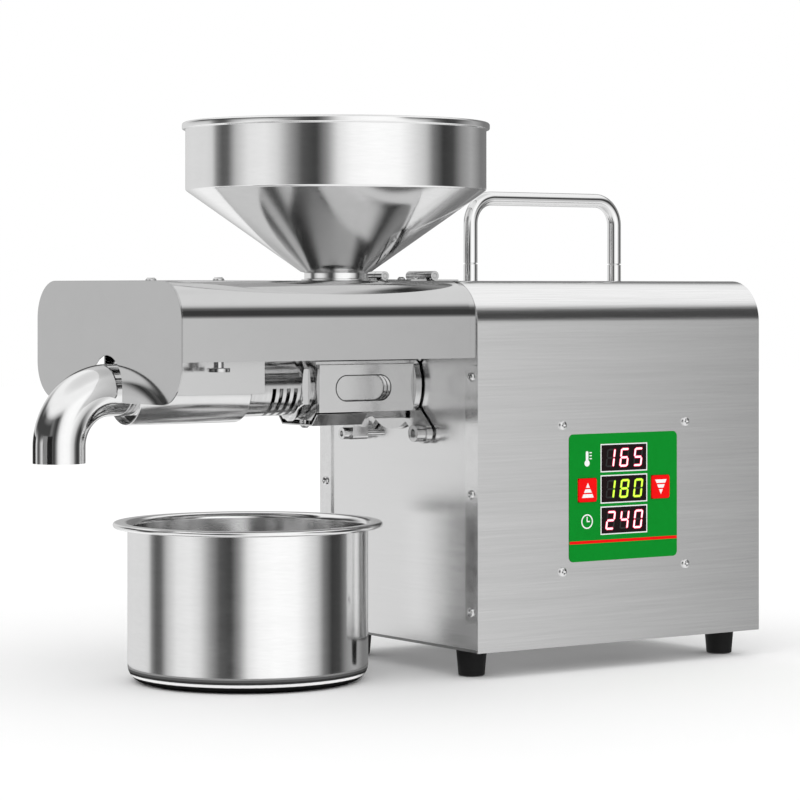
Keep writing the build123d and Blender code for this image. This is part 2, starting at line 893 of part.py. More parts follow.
def lock_nut():
    corner = nut_flats / 2 + nut_chamfer_rise
    nut = hex_x(nut_x0, nut_x1, nut_flats)
    nut &= turned_x(
        [
            (nut_x0, 0),
            (nut_x0, nut_flats / 2),
            (nut_x0 + nut_chamfer_length, corner),
            (nut_x1 - nut_chamfer_length, corner),
            (nut_x1, nut_flats / 2),
            (nut_x1, 0),
        ]
    )
    return nut - rod_x(nut_x0 - cut_over, nut_x1 + cut_over, barrel_radius + thread_gap)


def press_head():
    x0 = barrel_front_x - nose_length
    x1 = barrel_front_x + head_socket_depth
    skirt = head_socket_radius - thread_gap
    return turned_x(
        [
            (x0, nose_mouth_radius),
            (x0, nose_radius),
            (barrel_front_x, nose_radius),
            (barrel_front_x, skirt),
            (x1, skirt),
            (x1, barrel_bore),
            (barrel_front_x, barrel_bore),
        ]
    )


def discharge_sleeve():
    wall_x = barrel_front_x - sleeve_hub_length
    outer = sleeve_radius
    inner = sleeve_radius - sleeve_wall
    hub = nose_radius + thread_gap
    return turned_x(
        [
            (sleeve_front_x, inner),
            (sleeve_front_x, outer),
            (barrel_front_x, outer),
            (barrel_front_x, hub),
            (wall_x, hub),
            (wall_x, inner),
        ]
    )


def spout_pipe(radius, over):
    """The spout's path as a solid rod: a run along X, a quarter bend and a leg down."""
    bend_x = spout_leg_x + spout_bend
    bend_z = axis_z - spout_bend
    rod = rod_x(bend_x, barrel_front_x - spout_seat_gap + over, radius)
    disc = Plane(origin=(face_x + bend_x, 0, axis_z), x_dir=(0, 1, 0), z_dir=(1, 0, 0)) * Circle(radius)
    turn_axis = Axis((face_x + bend_x, 0, bend_z), (0, -1, 0))
    rod += revolve(disc, turn_axis, 90)
    return rod + rod_z(spout_mouth_z - over, bend_z, radius, spout_leg_x)


def spout_elbow():
    return spout_pipe(spout_radius, 0) - spout_pipe(spout_radius - spout_wall, cut_over)


def spout_ring():
    """A ring that centres the elbow's tube in the sleeve's mouth."""
    outer = sleeve_radius - sleeve_wall - fit_gap
    ring = rod_x(spout_ring_x, spout_ring_x + spout_ring_width, outer)
    end = spout_ring_x + spout_ring_width + cut_over
    return ring - rod_x(spout_ring_x - cut_over, end, spout_radius + thread_gap)


def barrel_block():
    """The cast block: barrel seat, feed port, shaft seal, heater and probe holes, a lug and a tray boss."""
    half = block_half_width
    seat_end = block_front_x + barrel_seat
    block = span(block_front_x, 0, -half, half, block_low, block_high)
    block = fillet(block.edges().filter_by(Axis.X).group_by(Axis.Z)[-1], block_chamfer)
    block = chamfer(block.edges().filter_by(Axis.X).group_by(Axis.Z)[0], block_chamfer)
    block += rod_x(-cut_over, spigot_length, spigot_radius)
    block -= rod_x(block_front_x - cut_over, seat_end, barrel_radius + thread_gap)
    block -= rod_x(seat_end - cut_over, -block_seal_length, barrel_bore)
    seal_start = -block_seal_length - cut_over
    block -= rod_x(seal_start, spigot_length + cut_over, output_shaft_radius + 2 * thread_gap)
    block -= rod_z(axis_z, block_high + cut_over, feed_port_radius, hopper_x)
    for y in (-heater_y, heater_y):
        heater_end = block_front_x + heater_length
        block -= rod_x(block_front_x - cut_over, heater_end, heater_radius + thread_gap, y, heater_z)
    block -= rod_z(block_high - probe_depth, block_high + cut_over, probe_radius + thread_gap, probe_x)
    lug = span(lug_front_x, lug_rear_x, -lug_half_width, lug_half_width, lug_low, block_low)
    block += fillet(lug.edges().filter_by(Axis.X).group_by(Axis.Z)[0], lug_corner)
    block -= rod_y(-half, half, cross_pin_radius + thread_gap, lug_x, cross_pin_z)
    hole = clamp_screw_radius + thread_gap
    block -= rod_x(lug_front_x - cut_over, lug_rear_x + cut_over, hole, 0, clamp_screw_z)
    block += rod_z(tray_floor_z, block_low + cut_over, tray_boss_radius, tray_screw_x)
    block -= rod_z(tray_floor_z - cut_over, block_low + tray_screw_bite, m3_radius + thread_gap, tray_screw_x)
    return block


def bracket_plates():
    """Two side plates that stand from the flange to the block's front, each with an obround window."""
    length = block_length - flange_thickness
    middle = (bracket_low + bracket_high) / 2
    side = Pos(block_front_x + length / 2, middle) * Rectangle(length, bracket_high - bracket_low)
    side -= Pos(window_front_x + window_length / 2, window_z) * SlotOverall(window_length, window_height)
    made = []
    for sign in (-1, 1):
        plane = Plane(origin=(face_x, sign * bracket_half_width, 0), x_dir=(1, 0, 0), z_dir=(0, -1, 0))
        made.append(extrude(plane * side, bracket_sheet, dir=(0, -sign, 0)))
    return made


def mounting_flange():
    outline = Circle(flange_radius)
    length = math.hypot(flange_bolt_y, flange_bolt_z)
    arm = Pos(length / 2, 0) * Rectangle(length, 2 * flange_lobe_radius)
    arm += Pos(length, 0) * Circle(flange_lobe_radius)
    slope = math.degrees(math.atan2(flange_bolt_z, flange_bolt_y))
    for turn in (slope, 180 - slope, 180 + slope, -slope):
        outline += Rot(0, 0, turn) * arm
    body = section_x(-flange_thickness, 0, Pos(0, axis_z) * outline)
    half = block_half_width + fit_gap
    front = -flange_thickness - cut_over
    body -= span(front, cut_over, -half, half, block_low - fit_gap, block_high + fit_gap)
    for y, z in flange_bolt_places():
        body -= rod_x(front, cut_over, m8_radius + thread_gap, y, z)
    return body


def flange_screws():
    made = []
    for y, z in flange_bolt_places():
        screw = rod_x(-flange_thickness, m8_grip, m8_radius, y, z)
        head_x = -flange_thickness - m8_head_length
        screw += rod_x(head_x, -flange_thickness, m8_head_radius, y, z)
        screw -= hex_x(head_x - cut_over, head_x + m8_socket_depth, m8_socket_flats, y, z)
        made.append(screw)
    return made


def oil_tray():
    """A folded sheet that leads oil from the block's front to the bowl."""
    floor = tray_floor_z - tray_sheet
    top = tray_top_z - tray_sheet
    outer = Polyline(
        (-tray_top_half_width, top),
        (-tray_floor_half_width, floor),
        (tray_floor_half_width, floor),
        (tray_top_half_width, top),
        (tray_top_half_width - tray_edge_width, top),
        (tray_floor_half_width - tray_fold_inset, tray_floor_z),
        (-tray_floor_half_width + tray_fold_inset, tray_floor_z),
        (-tray_top_half_width + tray_edge_width, top),
        close=True,
    )
    tray = section_x(block_front_x, tray_rear_x, make_face(outer))
    return tray - rod_z(floor - cut_over, tray_floor_z + cut_over, m3_radius + thread_gap, tray_screw_x)


def cross_pin():
    half = cross_pin_length / 2
    return rod_y(-half, half, cross_pin_radius, lug_x, cross_pin_z)


def block_screws():
    """The clamp screw in the block's lug and the small screw under the tray."""
    head_x = lug_front_x - clamp_head_length
    clamp = rod_x(head_x, lug_front_x, clamp_head_radius, 0, clamp_screw_z)
    clamp += rod_x(lug_front_x, clamp_screw_end_x, clamp_screw_radius, 0, clamp_screw_z)
    clamp -= hex_x(head_x - cut_over, head_x + clamp_socket_depth, clamp_socket_flats, 0, clamp_screw_z)
    seat = tray_floor_z - tray_sheet
    screw = pan_screw(pan_head_radius, pan_head_height, m3_radius, block_low + tray_screw_bite - seat)
    return [clamp, Pos(face_x + tray_screw_x, 0, seat) * Rot(180, 0, 0) * screw]


def heaters_and_probe():
    """Two cartridge heaters and the temperature probe of the barrel block."""
    made = []
    for y in (-heater_y, heater_y):
        made.append(rod_x(block_front_x, block_front_x + heater_length, heater_radius, y, heater_z))
    made.append(rod_z(block_high - probe_depth, block_high + probe_proud, probe_radius, probe_x))
    return made


def feed_throat():
    return turned_z(
        [
            (feed_port_radius, block_high),
            (throat_radius, block_high),
            (throat_radius, throat_top_z),
            (throat_mouth_radius, throat_top_z),
            (feed_port_radius, block_high + throat_cone_rise),
        ],
        hopper_x,
    )


def bead_points(radius, z, bead):
    """Half of an eight-sided rolled edge about (radius, z), from below its outer side over the top."""
    flat = bead * math.tan(math.pi / 8)
    outer = [(flat, -bead), (bead, -flat), (bead, flat), (flat, bead)]
    inner = [(-flat, bead), (-bead, flat), (-bead, -flat)]
    return [(radius + dr, z + dz) for dr, dz in outer + inner]


def hopper():
    """A spun hopper: rolled rim, wall, cone and neck, with a flange that sits on the cover."""
    rim_z = hopper_rim_z - hopper_bead_radius
    wall = hopper_wall
    flange_z = case_top + hopper_seat_gap
    profile = [
        (hopper_neck_radius, hopper_neck_low_z),
        (hopper_neck_radius, flange_z),
        (hopper_flange_radius, flange_z),
        (hopper_flange_radius, flange_z + hopper_flange_height),
        (hopper_neck_radius, flange_z + hopper_flange_height),
        (hopper_neck_radius, hopper_cone_low_z),
        (hopper_cone_low_radius, hopper_cone_low_z),
        (hopper_radius, hopper_cone_top_z),
        (hopper_radius, rim_z - hopper_bead_radius),
        *bead_points(hopper_radius, rim_z, hopper_bead_radius),
        (hopper_radius - wall, rim_z - hopper_bead_radius),
        (hopper_radius - wall, hopper_cone_top_z + hopper_cone_step),
        (hopper_neck_radius - wall, hopper_cone_low_z + hopper_cone_step),
        (hopper_neck_radius - wall, hopper_neck_low_z),
    ]
    return turned_z(profile, hopper_x)


def involute_gear(teeth, face):
    """A spur gear along X, its flanks points of the involute."""
    pitch = gear_module * teeth / 2
    base = pitch * math.cos(math.radians(pressure_angle))
    tip = pitch + gear_module * tooth_addendum
    root = pitch - gear_module * tooth_dedendum
    start = max(base, root + flank_start_rise)

    def roll(radius):
        ratio = max(radius / base, 1.0)
        angle = math.acos(1 / ratio)
        return math.tan(angle) - angle

    radii = [root, pitch, tip]
    if teeth < undercut_teeth:
        radii = [root, start, (pitch + start) / 2, pitch, (pitch + tip) / 2, tip]
    half_tooth = math.pi / (2 * teeth) - gear_backlash / (2 * pitch)
    flank = [(radius, half_tooth + roll(pitch) - roll(radius)) for radius in radii]
    points = []
    for i in range(teeth):
        centre = 2 * math.pi * i / teeth
        points += [(r * math.cos(centre - a), r * math.sin(centre - a)) for r, a in flank]
        points += [(r * math.cos(centre + a), r * math.sin(centre + a)) for r, a in reversed(flank)]
    return extrude(make_face(Polyline(*points, close=True)), face)


def gear_at(teeth, x0, face, z, turn):
    """Lays a gear with its faces square to X. turn is the angle of tooth 0 from +Z."""
    flat = Rot(0, 0, turn) * involute_gear(teeth, face)
    plane = Plane(origin=(face_x + x0, 0, z), x_dir=(0, 0, 1), z_dir=(1, 0, 0))
    return plane * flat


def mesh_turn(wheel_teeth):
    """A wheel with an even count points a tooth down, so its pinion points a gap up."""
    return 180 / pinion_teeth * ((wheel_teeth + 1) % 2)


def output_gear():
    gear = gear_at(output_teeth, first_mesh_x, gear_face, axis_z, 0)
    return gear - rod_x(first_mesh_x - cut_over, first_mesh_x + gear_face + cut_over, output_shaft_radius)


def output_shaft():
    shaft = rod_x(output_shaft_front_x, output_shaft_end_x, output_shaft_radius)
    socket_end = output_shaft_front_x + screw_drive_length + screw_socket_spare
    return shaft - hex_x(output_shaft_front_x - cut_over, socket_end, screw_drive_flats + fit_gap)


def flight_section(core, half_angle):
    """The screw cut square to its axis: a core circle with one lobe out to the flight's crest."""
    low, high = math.radians(-half_angle), math.radians(half_angle)

    def point(radius, angle):
        return (radius * math.cos(angle), radius * math.sin(angle))

    low_crest = point(screw_flight_radius, low)
    high_crest = point(screw_flight_radius, high)
    outline = Line(point(core, low), low_crest)
    outline += ThreePointArc(low_crest, point(screw_flight_radius, 0), high_crest)
    outline += Line(high_crest, point(core, high))
    outline += ThreePointArc(point(core, high), point(core, math.pi), point(core, low))
    return make_face(outline)


def press_screw():
    """A core that thickens in steps towards the spout, with one helical flight right along it."""
    flight_end = screw_tail_x - screw_collar_length - screw_flight_front_x
    half_angle = 180 * screw_flight_thickness / screw_pitch
    starts = [0, screw_step_length, 2 * screw_step_length, flight_end]
    body = Cone(
        screw_root_press * screw_tip_taper,
        screw_root_press,
        screw_flight_front_x - screw_tip_x,
        align=(Align.CENTER, Align.CENTER, Align.MAX),
    )
    cores = (screw_root_press, screw_root_middle, screw_root_feed)
    for z0, z1, core in zip(starts, starts[1:], cores):
        section = Pos(0, 0, z0) * Rot(0, 0, 360 * z0 / screw_pitch) * flight_section(core, half_angle)
        turned = 360 * (z1 - z0) / screw_pitch
        body += Solid.extrude_linear_with_rotation(section.face(), (0, 0, z0), (0, 0, z1 - z0), turned)
    body = Pos(face_x + screw_flight_front_x, 0, axis_z) * Rot(0, 90, 0) * body
    body += rod_x(screw_tail_x - screw_collar_length, screw_tail_x, barrel_bore - screw_collar_gap)
    drive_end = output_shaft_front_x + screw_drive_length
    return body + hex_x(screw_tail_x, drive_end, screw_drive_flats)


def idler_gear():
    gear = gear_at(idler_teeth, second_mesh_x, gear_face, idler_z, 0)
    end = second_mesh_x + gear_face + cut_over
    return gear - rod_x(second_mesh_x - cut_over, end, idler_shaft_radius, 0, idler_z)


def idler_shaft():
    """The idler shaft, with the first pinion cut on it."""
    front = gearcase_front_x + gearcase_wall - small_bearing_width
    rear = gearcase_end_x + gearcase_cover_thickness - idler_end_gap
    shaft = rod_x(front, rear, idler_shaft_radius, 0, idler_z)
    face = gear_face + pinion_extra
    turn = mesh_turn(output_teeth)
    return shaft + gear_at(pinion_teeth, first_mesh_x - pinion_extra / 2, face, idler_z, turn)


def motor_rotor():
    """The motor shaft with its pinion, the rotor stack and the fan's seat."""
    front = gearcase_front_x + gearcase_wall - small_bearing_width
    fan_end = motor_end_x + fan_gap + fan_width
    shaft = rod_x(front, fan_end, motor_shaft_radius, 0, motor_z)
    stack_x = motor_middle_x - rotor_length / 2
    stack = rod_x(stack_x, stack_x + rotor_length, rotor_radius, 0, motor_z)
    face = gear_face + pinion_extra
    pinion = gear_at(pinion_teeth, second_mesh_x - pinion_extra / 2, face, motor_z, mesh_turn(idler_teeth))
    return shaft + stack + pinion


def motor_fan():
    x0 = motor_end_x + fan_gap
    hub = rod_x(x0, x0 + fan_width, fan_hub_radius, 0, motor_z)
    root = fan_hub_radius - cut_over
    blade = Pos((fan_radius + root) / 2, 0) * Rectangle(fan_radius - root, fan_blade_thickness)
    for i in range(fan_blades):
        sketch = Pos(0, motor_z) * Rot(0, 0, 360 * i / fan_blades) * blade
        hub += section_x(x0, x0 + fan_width, sketch)
    return hub - rod_x(x0 - cut_over, x0 + fan_width + cut_over, motor_shaft_radius, 0, motor_z)


def case_outline(inset):
    middle = (gearcase_low + gearcase_high) / 2
    width = 2 * (gearcase_half_width - inset)
    height = gearcase_high - gearcase_low - 2 * inset
    return Pos(0, middle) * RectangleRounded(width, height, gearcase_corner - inset)


def gearbox_case():
    end = gearcase_end_x
    body = section_x(gearcase_front_x, end, case_outline(0))
    body -= section_x(gearcase_front_x + gearcase_wall, end + cut_over, case_outline(gearcase_side_wall))
    wall_end = gearcase_front_x + gearcase_wall + cut_over
    body -= rod_x(gearcase_front_x - cut_over, wall_end, big_bearing_radius)
    seat = gearcase_front_x + gearcase_wall - small_bearing_width
    for z in (idler_z, motor_z):
        body -= rod_x(seat, gearcase_front_x + gearcase_wall + cut_over, small_bearing_radius, 0, z)
    for y, z in flange_bolt_places():
        body -= rod_x(gearcase_front_x - cut_over, m8_grip + cut_over, m8_radius + thread_gap, y, z)
    return body


def gearbox_cover():
    start = gearcase_end_x
    end = start + gearcase_cover_thickness
    body = section_x(start, end, case_outline(0))
    body -= rod_x(start - cut_over, end + cut_over, big_bearing_radius)
    body -= rod_x(start - cut_over, start + small_bearing_width, small_bearing_radius, 0, idler_z)
    body -= rod_x(start - cut_over, end + cut_over, small_bearing_radius, 0, motor_z)
    body -= rod_x(start, end - idler_seat_wall, idler_shaft_radius + cut_over, 0, idler_z)
    return body


def bearing(x0, x1, bore, outer, z):
    return rod_x(x0, x1, outer, 0, z) - rod_x(x0 - cut_over, x1 + cut_over, bore + running_gap, 0, z)


def bearings():
    front = gearcase_front_x
    wall_end = front + gearcase_wall
    start = gearcase_end_x
    seat = wall_end - small_bearing_width
    return [
        bearing(front, wall_end, output_shaft_radius, big_bearing_radius, axis_z),
        bearing(start, start + gearcase_cover_thickness, output_shaft_radius, big_bearing_radius, axis_z),
        bearing(seat, wall_end, idler_shaft_radius, small_bearing_radius, idler_z),
        bearing(start, start + small_bearing_width, idler_shaft_radius, small_bearing_radius, idler_z),
        bearing(seat, wall_end, motor_shaft_radius, small_bearing_radius, motor_z),
        bearing(start, start + small_bearing_width, motor_shaft_radius, small_bearing_radius, motor_z),
    ]


def motor_can():
    x0 = motor_start_x + end_bell_length
    x1 = motor_end_x - end_bell_length
    can = rod_x(x0, x1, motor_radius, 0, motor_z)
    return can - rod_x(x0 - cut_over, x1 + cut_over, motor_radius - motor_wall, 0, motor_z)


def motor_end_bells():
    made = []
    for x0, x1 in (
        (motor_start_x, motor_start_x + end_bell_length),
        (motor_end_x - end_bell_length, motor_end_x),
    ):
        bell = rod_x(x0, x1, motor_radius, 0, motor_z)
        made.append(bell - rod_x(x0 - cut_over, x1 + cut_over, motor_shaft_radius + running_gap, 0, motor_z))
    return made


def motor_cradle():
    """A saddle on the base plate that carries the motor can."""
    low = case_bottom + base_thickness
    high = motor_z - motor_radius / 2
    x0 = motor_middle_x - cradle_length / 2
    x1 = x0 + cradle_length
    body = span(x0, x1, -cradle_half_width, cradle_half_width, low, high)
    body -= rod_x(x0 - cut_over, x1 + cut_over, motor_radius + fit_gap, 0, motor_z)
    inner = cradle_half_width - cradle_wall
    return body - span(x0 + cradle_wall, x1 - cradle_wall, -inner, inner, low - cut_over, high + cut_over)


def panel_screw_places():
    middle = panel_x + panel_screw_shift
    reach = panel_width / 2 + panel_screw_side_gap
    low = panel_low - panel_screw_low_gap
    high = panel_low + panel_height + panel_screw_high_gap
    return [(x, z) for x in (middle - reach, middle + reach) for z in (low, high)]


def button_block(side, size, y0, y1):
    x = panel_x + side * button_offset_x
    return span(x - size / 2, x + size / 2, y0, y1, button_z - size / 2, button_z + size / 2)


def panel_overlay():
    outer_y = -case_width / 2
    middle = panel_low + panel_height / 2
    sketch = Pos(panel_x, middle) * RectangleRounded(panel_width, panel_height, panel_corner)
    for z in display_rows:
        sketch -= Pos(panel_x, z) * Rectangle(window_width + 2 * key_gap, display_height + 2 * key_gap)
    for side in (-1, 1):
        hole = Rectangle(button_size + 2 * key_gap, button_size + 2 * key_gap)
        sketch -= Pos(panel_x + side * button_offset_x, button_z) * hole
    plane = Plane(origin=(face_x, outer_y, 0), x_dir=(1, 0, 0), z_dir=(0, -1, 0))
    return extrude(plane * sketch, panel_sheet)


def display_windows():
    made = []
    y0 = -case_width / 2 - panel_sheet - display_proud
    for z in display_rows:
        made.append(
            span(
                panel_x - window_width / 2,
                panel_x + window_width / 2,
                y0,
                y0 + display_depth,
                z - display_height / 2,
                z + display_height / 2,
            )
        )
    return made


def panel_button(side):
    y0 = -case_width / 2 - panel_sheet - button_proud
    inner_y = -case_width / 2 + sheet + switch_post_gap
    cap = button_block(side, button_size, y0, inner_y)
    cap = fillet(cap.edges().filter_by(Axis.Y), button_corner)
    flange_size = button_size + 2 * button_flange
    return cap + button_block(side, flange_size, inner_y, inner_y + button_flange_thickness)


def control_board():
    """The circuit board with its display modules, its two key switches and its posts."""
    wall_y = -case_width / 2 + sheet
    y0 = wall_y + board_y
    places = panel_screw_places()
    board = span(
        min(x for x, z in places) - board_margin,
        max(x for x, z in places) + board_margin,
        y0,
        y0 + board_thickness,
        min(z for x, z in places) - board_margin,
        max(z for x, z in places) + board_margin,
    )
    lens_back = -case_width / 2 - panel_sheet - display_proud + display_depth
    half = window_width / 2 - display_module_inset
    bite_y = y0 + board_bite
    for z in display_rows:
        low = z - display_height / 2
        board += span(panel_x - half, panel_x + half, lens_back, bite_y, low, low + display_height)
    key_back = wall_y + switch_post_gap + button_flange_thickness
    for side in (-1, 1):
        x = panel_x + side * button_offset_x
        board += rod_y(key_back + button_travel + switch_post_gap, bite_y, key_post_radius, x, button_z)
    for x, z in places:
        board += rod_y(wall_y, bite_y, board_post_radius, x, z)
        board -= rod_y(wall_y - cut_over, y0 + 2 * board_thickness, m3_radius + thread_gap, x, z)
    return board


def panel_screws():
    outer_y = -case_width / 2
    screw = pan_screw(pan_head_radius, pan_head_height, m3_radius, sheet + board_y + board_thickness)
    return [Pos(face_x + x, outer_y, z) * Rot(90, 0, 0) * screw for x, z in panel_screw_places()]


def switch_bodies():
    """Two rocker switch cases with a pocket for the rocker."""
    made = []
    plate_x = case_length - sheet
    bezel_x = plate_x + switch_bezel
    pocket_x = plate_x - switch_depth / 2
    pin_half = rocker_width / 2 + rocker_pin_reach + fit_gap
    pin_hole = rocker_pin_radius + thread_gap

    def block(x0, x1, y, width, height):
        return span(x0, x1, y - width / 2, y + width / 2, switch_z - height / 2, switch_z + height / 2)

    for y in (power_switch_y, motor_switch_y):
        lip = 2 * switch_bezel_lip
        body = block(plate_x, bezel_x, y, switch_width + lip, switch_height + lip)
        body += block(plate_x - switch_depth, plate_x, y, switch_width, switch_height)
        pocket_width = rocker_width + 2 * fit_gap
        body -= block(pocket_x, bezel_x + cut_over, y, pocket_width, rocker_height + 2 * rocker_pocket_gap)
        body -= rod_y(y - pin_half, y + pin_half, pin_hole, plate_x - rocker_pivot_depth, switch_z)
        made.append(body)
    return made


def rocker(y, tilt):
    """A rocker key: two faces that meet in a shallow V over its pivot. A tilt above zero puts its top out."""
    plate_x = case_length - sheet
    pivot_x = plate_x - rocker_pivot_depth
    half = rocker_height / 2
    tip_x = plate_x + switch_bezel + rocker_tip_rise
    outline = Polyline(
        (plate_x - rocker_thickness, -half / 2),
        (pivot_x, -half),
        (tip_x, -half),
        (plate_x + switch_bezel + rocker_valley_rise, 0),
        (tip_x, half),
        (pivot_x, half),
        (plate_x - rocker_thickness, half / 2),
        close=True,
    )
    plane = Plane(origin=(face_x, y + rocker_width / 2, switch_z), x_dir=(1, 0, 0), z_dir=(0, -1, 0))
    key = extrude(plane * make_face(outline), rocker_width)
    pin_half = rocker_width / 2 + rocker_pin_reach
    key += rod_y(y - pin_half, y + pin_half, rocker_pin_radius, pivot_x, switch_z)
    return key.rotate(Axis((face_x + pivot_x, 0, switch_z), (0, 1, 0)), tilt)


def power_inlet():
    """A mains inlet: flange, recessed socket and three flat pins."""
    plate_x = case_length - sheet
    back = plate_x - inlet_depth
    face = plate_x + inlet_flange_thickness

    def block(x0, x1, width, height, dy=0.0, dz=0.0):
        y = inlet_y + dy
        z = switch_z + dz
        return span(x0, x1, y - width / 2, y + width / 2, z - height / 2, z + height / 2)

    flange = block(plate_x, face, inlet_flange_width, inlet_flange_height)
    body = fillet(flange.edges().filter_by(Axis.X), inlet_flange_corner)
    body += block(back, plate_x, inlet_width, inlet_height)
    walls = 2 * inlet_wall
    body -= block(back + inlet_wall, face + cut_over, inlet_width - walls, inlet_height - walls)
    for side in (-1, 0, 1):
        dz = inlet_pin_offset if side == 0 else -inlet_pin_offset
        dy = side * inlet_pin_spacing
        end = plate_x - inlet_pin_recess
        body += block(back + inlet_wall / 2, end, inlet_pin_thickness, inlet_pin_width, dy, dz)
    return body


def bowl():
    """A spun pot: flat floor, rounded corner, straight wall and a turned-out rim with a rolled edge."""
    wall = bowl_wall
    inner = bowl_radius - wall
    lip = bowl_lip_radius
    rim = bead_points(bowl_radius + bowl_rim_reach, bowl_height - lip, lip)[:5]
    under = bowl_height - wall
    outline = Polyline(
        (0, 0),
        (bowl_radius, 0),
        (bowl_radius, under),
        (bowl_radius + bowl_rim_reach - lip, under),
        *rim,
        (inner, bowl_height),
        (inner, wall),
        (0, wall),
        close=True,
    )
    face = make_face(outline)
    for radius, corner in ((bowl_radius, bowl_corner), (inner, bowl_corner - wall)):
        found = face.vertices().filter_by_position(Axis.X, radius, radius)
        face = fillet(found.group_by(Axis.Y)[0], corner)
    return Pos(face_x + bowl_x, 0, 0) * revolve(Plane.XZ * face, Axis.Z)


builders = {
    "wrap_shell": wrap_shell,
    "front_plate": front_plate,
    "rear_plate": rear_plate,
    "base_plate": base_plate,
    "feet": feet,
    "foot_screws": foot_screws,
    "shell_screws": shell_screws,
    "handle_bar": handle_bar,
    "handle_posts": handle_posts,
    "handle_nuts": handle_nuts,
    "cover_collar": cover_collar,
    "housing_hinges": housing_hinges,
    "hinge_pins": hinge_pins,
    "barrel_cover": barrel_cover,
    "cover_end_plate": cover_end_plate,
    "cover_screws": cover_screws,
    "sleeve_nuts": sleeve_nuts,
    "heat_shield": heat_shield,
    "cover_hinges": cover_hinges,
    "hinge_screws": hinge_screws,
    "slotted_barrel": slotted_barrel,
    "lock_nut": lock_nut,
    "press_head": press_head,
    "discharge_sleeve": discharge_sleeve,
    "spout_elbow": spout_elbow,
    "spout_ring": spout_ring,
    "barrel_block": barrel_block,
    "bracket_plates": bracket_plates,
    "mounting_flange": mounting_flange,
    "flange_screws": flange_screws,
    "oil_tray": oil_tray,
    "cross_pin": cross_pin,
    "block_screws": block_screws,
    "heaters_and_probe": heaters_and_probe,
    "feed_throat": feed_throat,
    "hopper": hopper,
    "press_screw": press_screw,
    "output_shaft": output_shaft,
    "output_gear": output_gear,
    "idler_shaft": idler_shaft,
    "idler_gear": idler_gear,
    "motor_rotor": motor_rotor,
    "motor_fan": motor_fan,
    "gearbox_case": gearbox_case,
    "gearbox_cover": gearbox_cover,
    "bearings": bearings,
    "motor_can": motor_can,
    "motor_end_bells": motor_end_bells,
    "motor_cradle": motor_cradle,
    "panel_overlay": panel_overlay,
    "display_windows": display_windows,
    "up_button": lambda: panel_button(-1),
    "down_button": lambda: panel_button(1),
    "control_board": control_board,
    "panel_screws": panel_screws,
    "switch_bodies": switch_bodies,
    "power_rocker": lambda: rocker(power_switch_y, rocker_rest_tilt),
    "motor_rocker": lambda: rocker(motor_switch_y, 0),
    "power_inlet": power_inlet,
    "bowl": bowl,
}

os.makedirs("parts", exist_ok=True)
for name, build in builders.items():
    made = build()
    if isinstance(made, list):
        made = Compound(children=[solid for item in made for solid in item.solids()])
    export_step(made, f"parts/{name}.step")
    print(name, len(made.solids()))
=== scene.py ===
import json
import math

import bmesh
import bpy
import numpy as np
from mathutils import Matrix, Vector


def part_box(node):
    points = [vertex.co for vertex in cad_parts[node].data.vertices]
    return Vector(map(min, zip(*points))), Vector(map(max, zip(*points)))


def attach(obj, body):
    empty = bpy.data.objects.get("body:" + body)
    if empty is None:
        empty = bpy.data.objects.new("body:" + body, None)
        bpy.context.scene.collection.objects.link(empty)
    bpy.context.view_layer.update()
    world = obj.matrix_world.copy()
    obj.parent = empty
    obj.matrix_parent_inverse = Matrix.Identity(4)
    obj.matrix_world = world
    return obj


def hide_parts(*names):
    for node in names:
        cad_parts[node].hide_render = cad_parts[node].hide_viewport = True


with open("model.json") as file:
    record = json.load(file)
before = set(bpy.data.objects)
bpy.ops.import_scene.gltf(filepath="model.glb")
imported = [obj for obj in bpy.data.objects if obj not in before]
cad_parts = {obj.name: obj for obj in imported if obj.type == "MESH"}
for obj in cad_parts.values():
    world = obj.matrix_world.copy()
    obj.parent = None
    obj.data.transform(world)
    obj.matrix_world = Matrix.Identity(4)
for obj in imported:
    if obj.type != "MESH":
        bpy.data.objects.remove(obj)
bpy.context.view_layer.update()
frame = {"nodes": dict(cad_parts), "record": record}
print("loaded the packed press:", len(frame["nodes"]), "nodes")

# every length below is in millimetres, and X counts from the housing's front face
mm = 0.001
faceX = 16.2  # that face, from the origin
alongX = np.array([1.0, 0.0, 0.0])
alongY = np.array([0.0, 1.0, 0.0])
alongZ = np.array([0.0, 0.0, 1.0])

# weld is in metres, angles are in degrees
meshCare = dict(tiny=1e-12, weld=1e-6, sameStep=1e-6, curveAngle=32.0, flatAngle=0.5, thinnestCorner=1e-3)
edgeCare = dict(segments=2, fromAngle=35.0, width=0.25)


def unit(v):
    # each row divided by its own length
    return v / np.maximum(np.linalg.norm(v, axis=-1, keepdims=True), meshCare["tiny"])


def roundedPath(points, radii, steps):
    # every corner becomes an arc tangent to its two sides, its points spread by equal angles
    p = np.asarray(points, float)
    radii = np.asarray(radii, float)[:, None]
    a = unit(np.roll(p, 1, 0) - p)
    b = unit(np.roll(p, -1, 0) - p)
    half = np.arccos(np.clip((a * b).sum(-1, keepdims=True), -1, 1)) / 2
    half = np.clip(half, meshCare["thinnestCorner"], math.pi / 2 - meshCare["thinnestCorner"])
    centre = p + unit(a + b) * radii / np.sin(half)
    start = p + a * radii / np.tan(half) - centre
    end = p + b * radii / np.tan(half) - centre
    sweep = (math.pi - 2 * half)[:, None, :]
    s = np.linspace(0, 1, steps)[None, :, None]
    arc = (np.sin((1 - s) * sweep) * start[:, None] + np.sin(s * sweep) * end[:, None]) / np.sin(sweep)
    line = (centre[:, None] + arc).reshape(-1, p.shape[1])
    keep = np.linalg.norm(line - np.roll(line, 1, 0), axis=1) > meshCare["sameStep"]
    return line[keep]


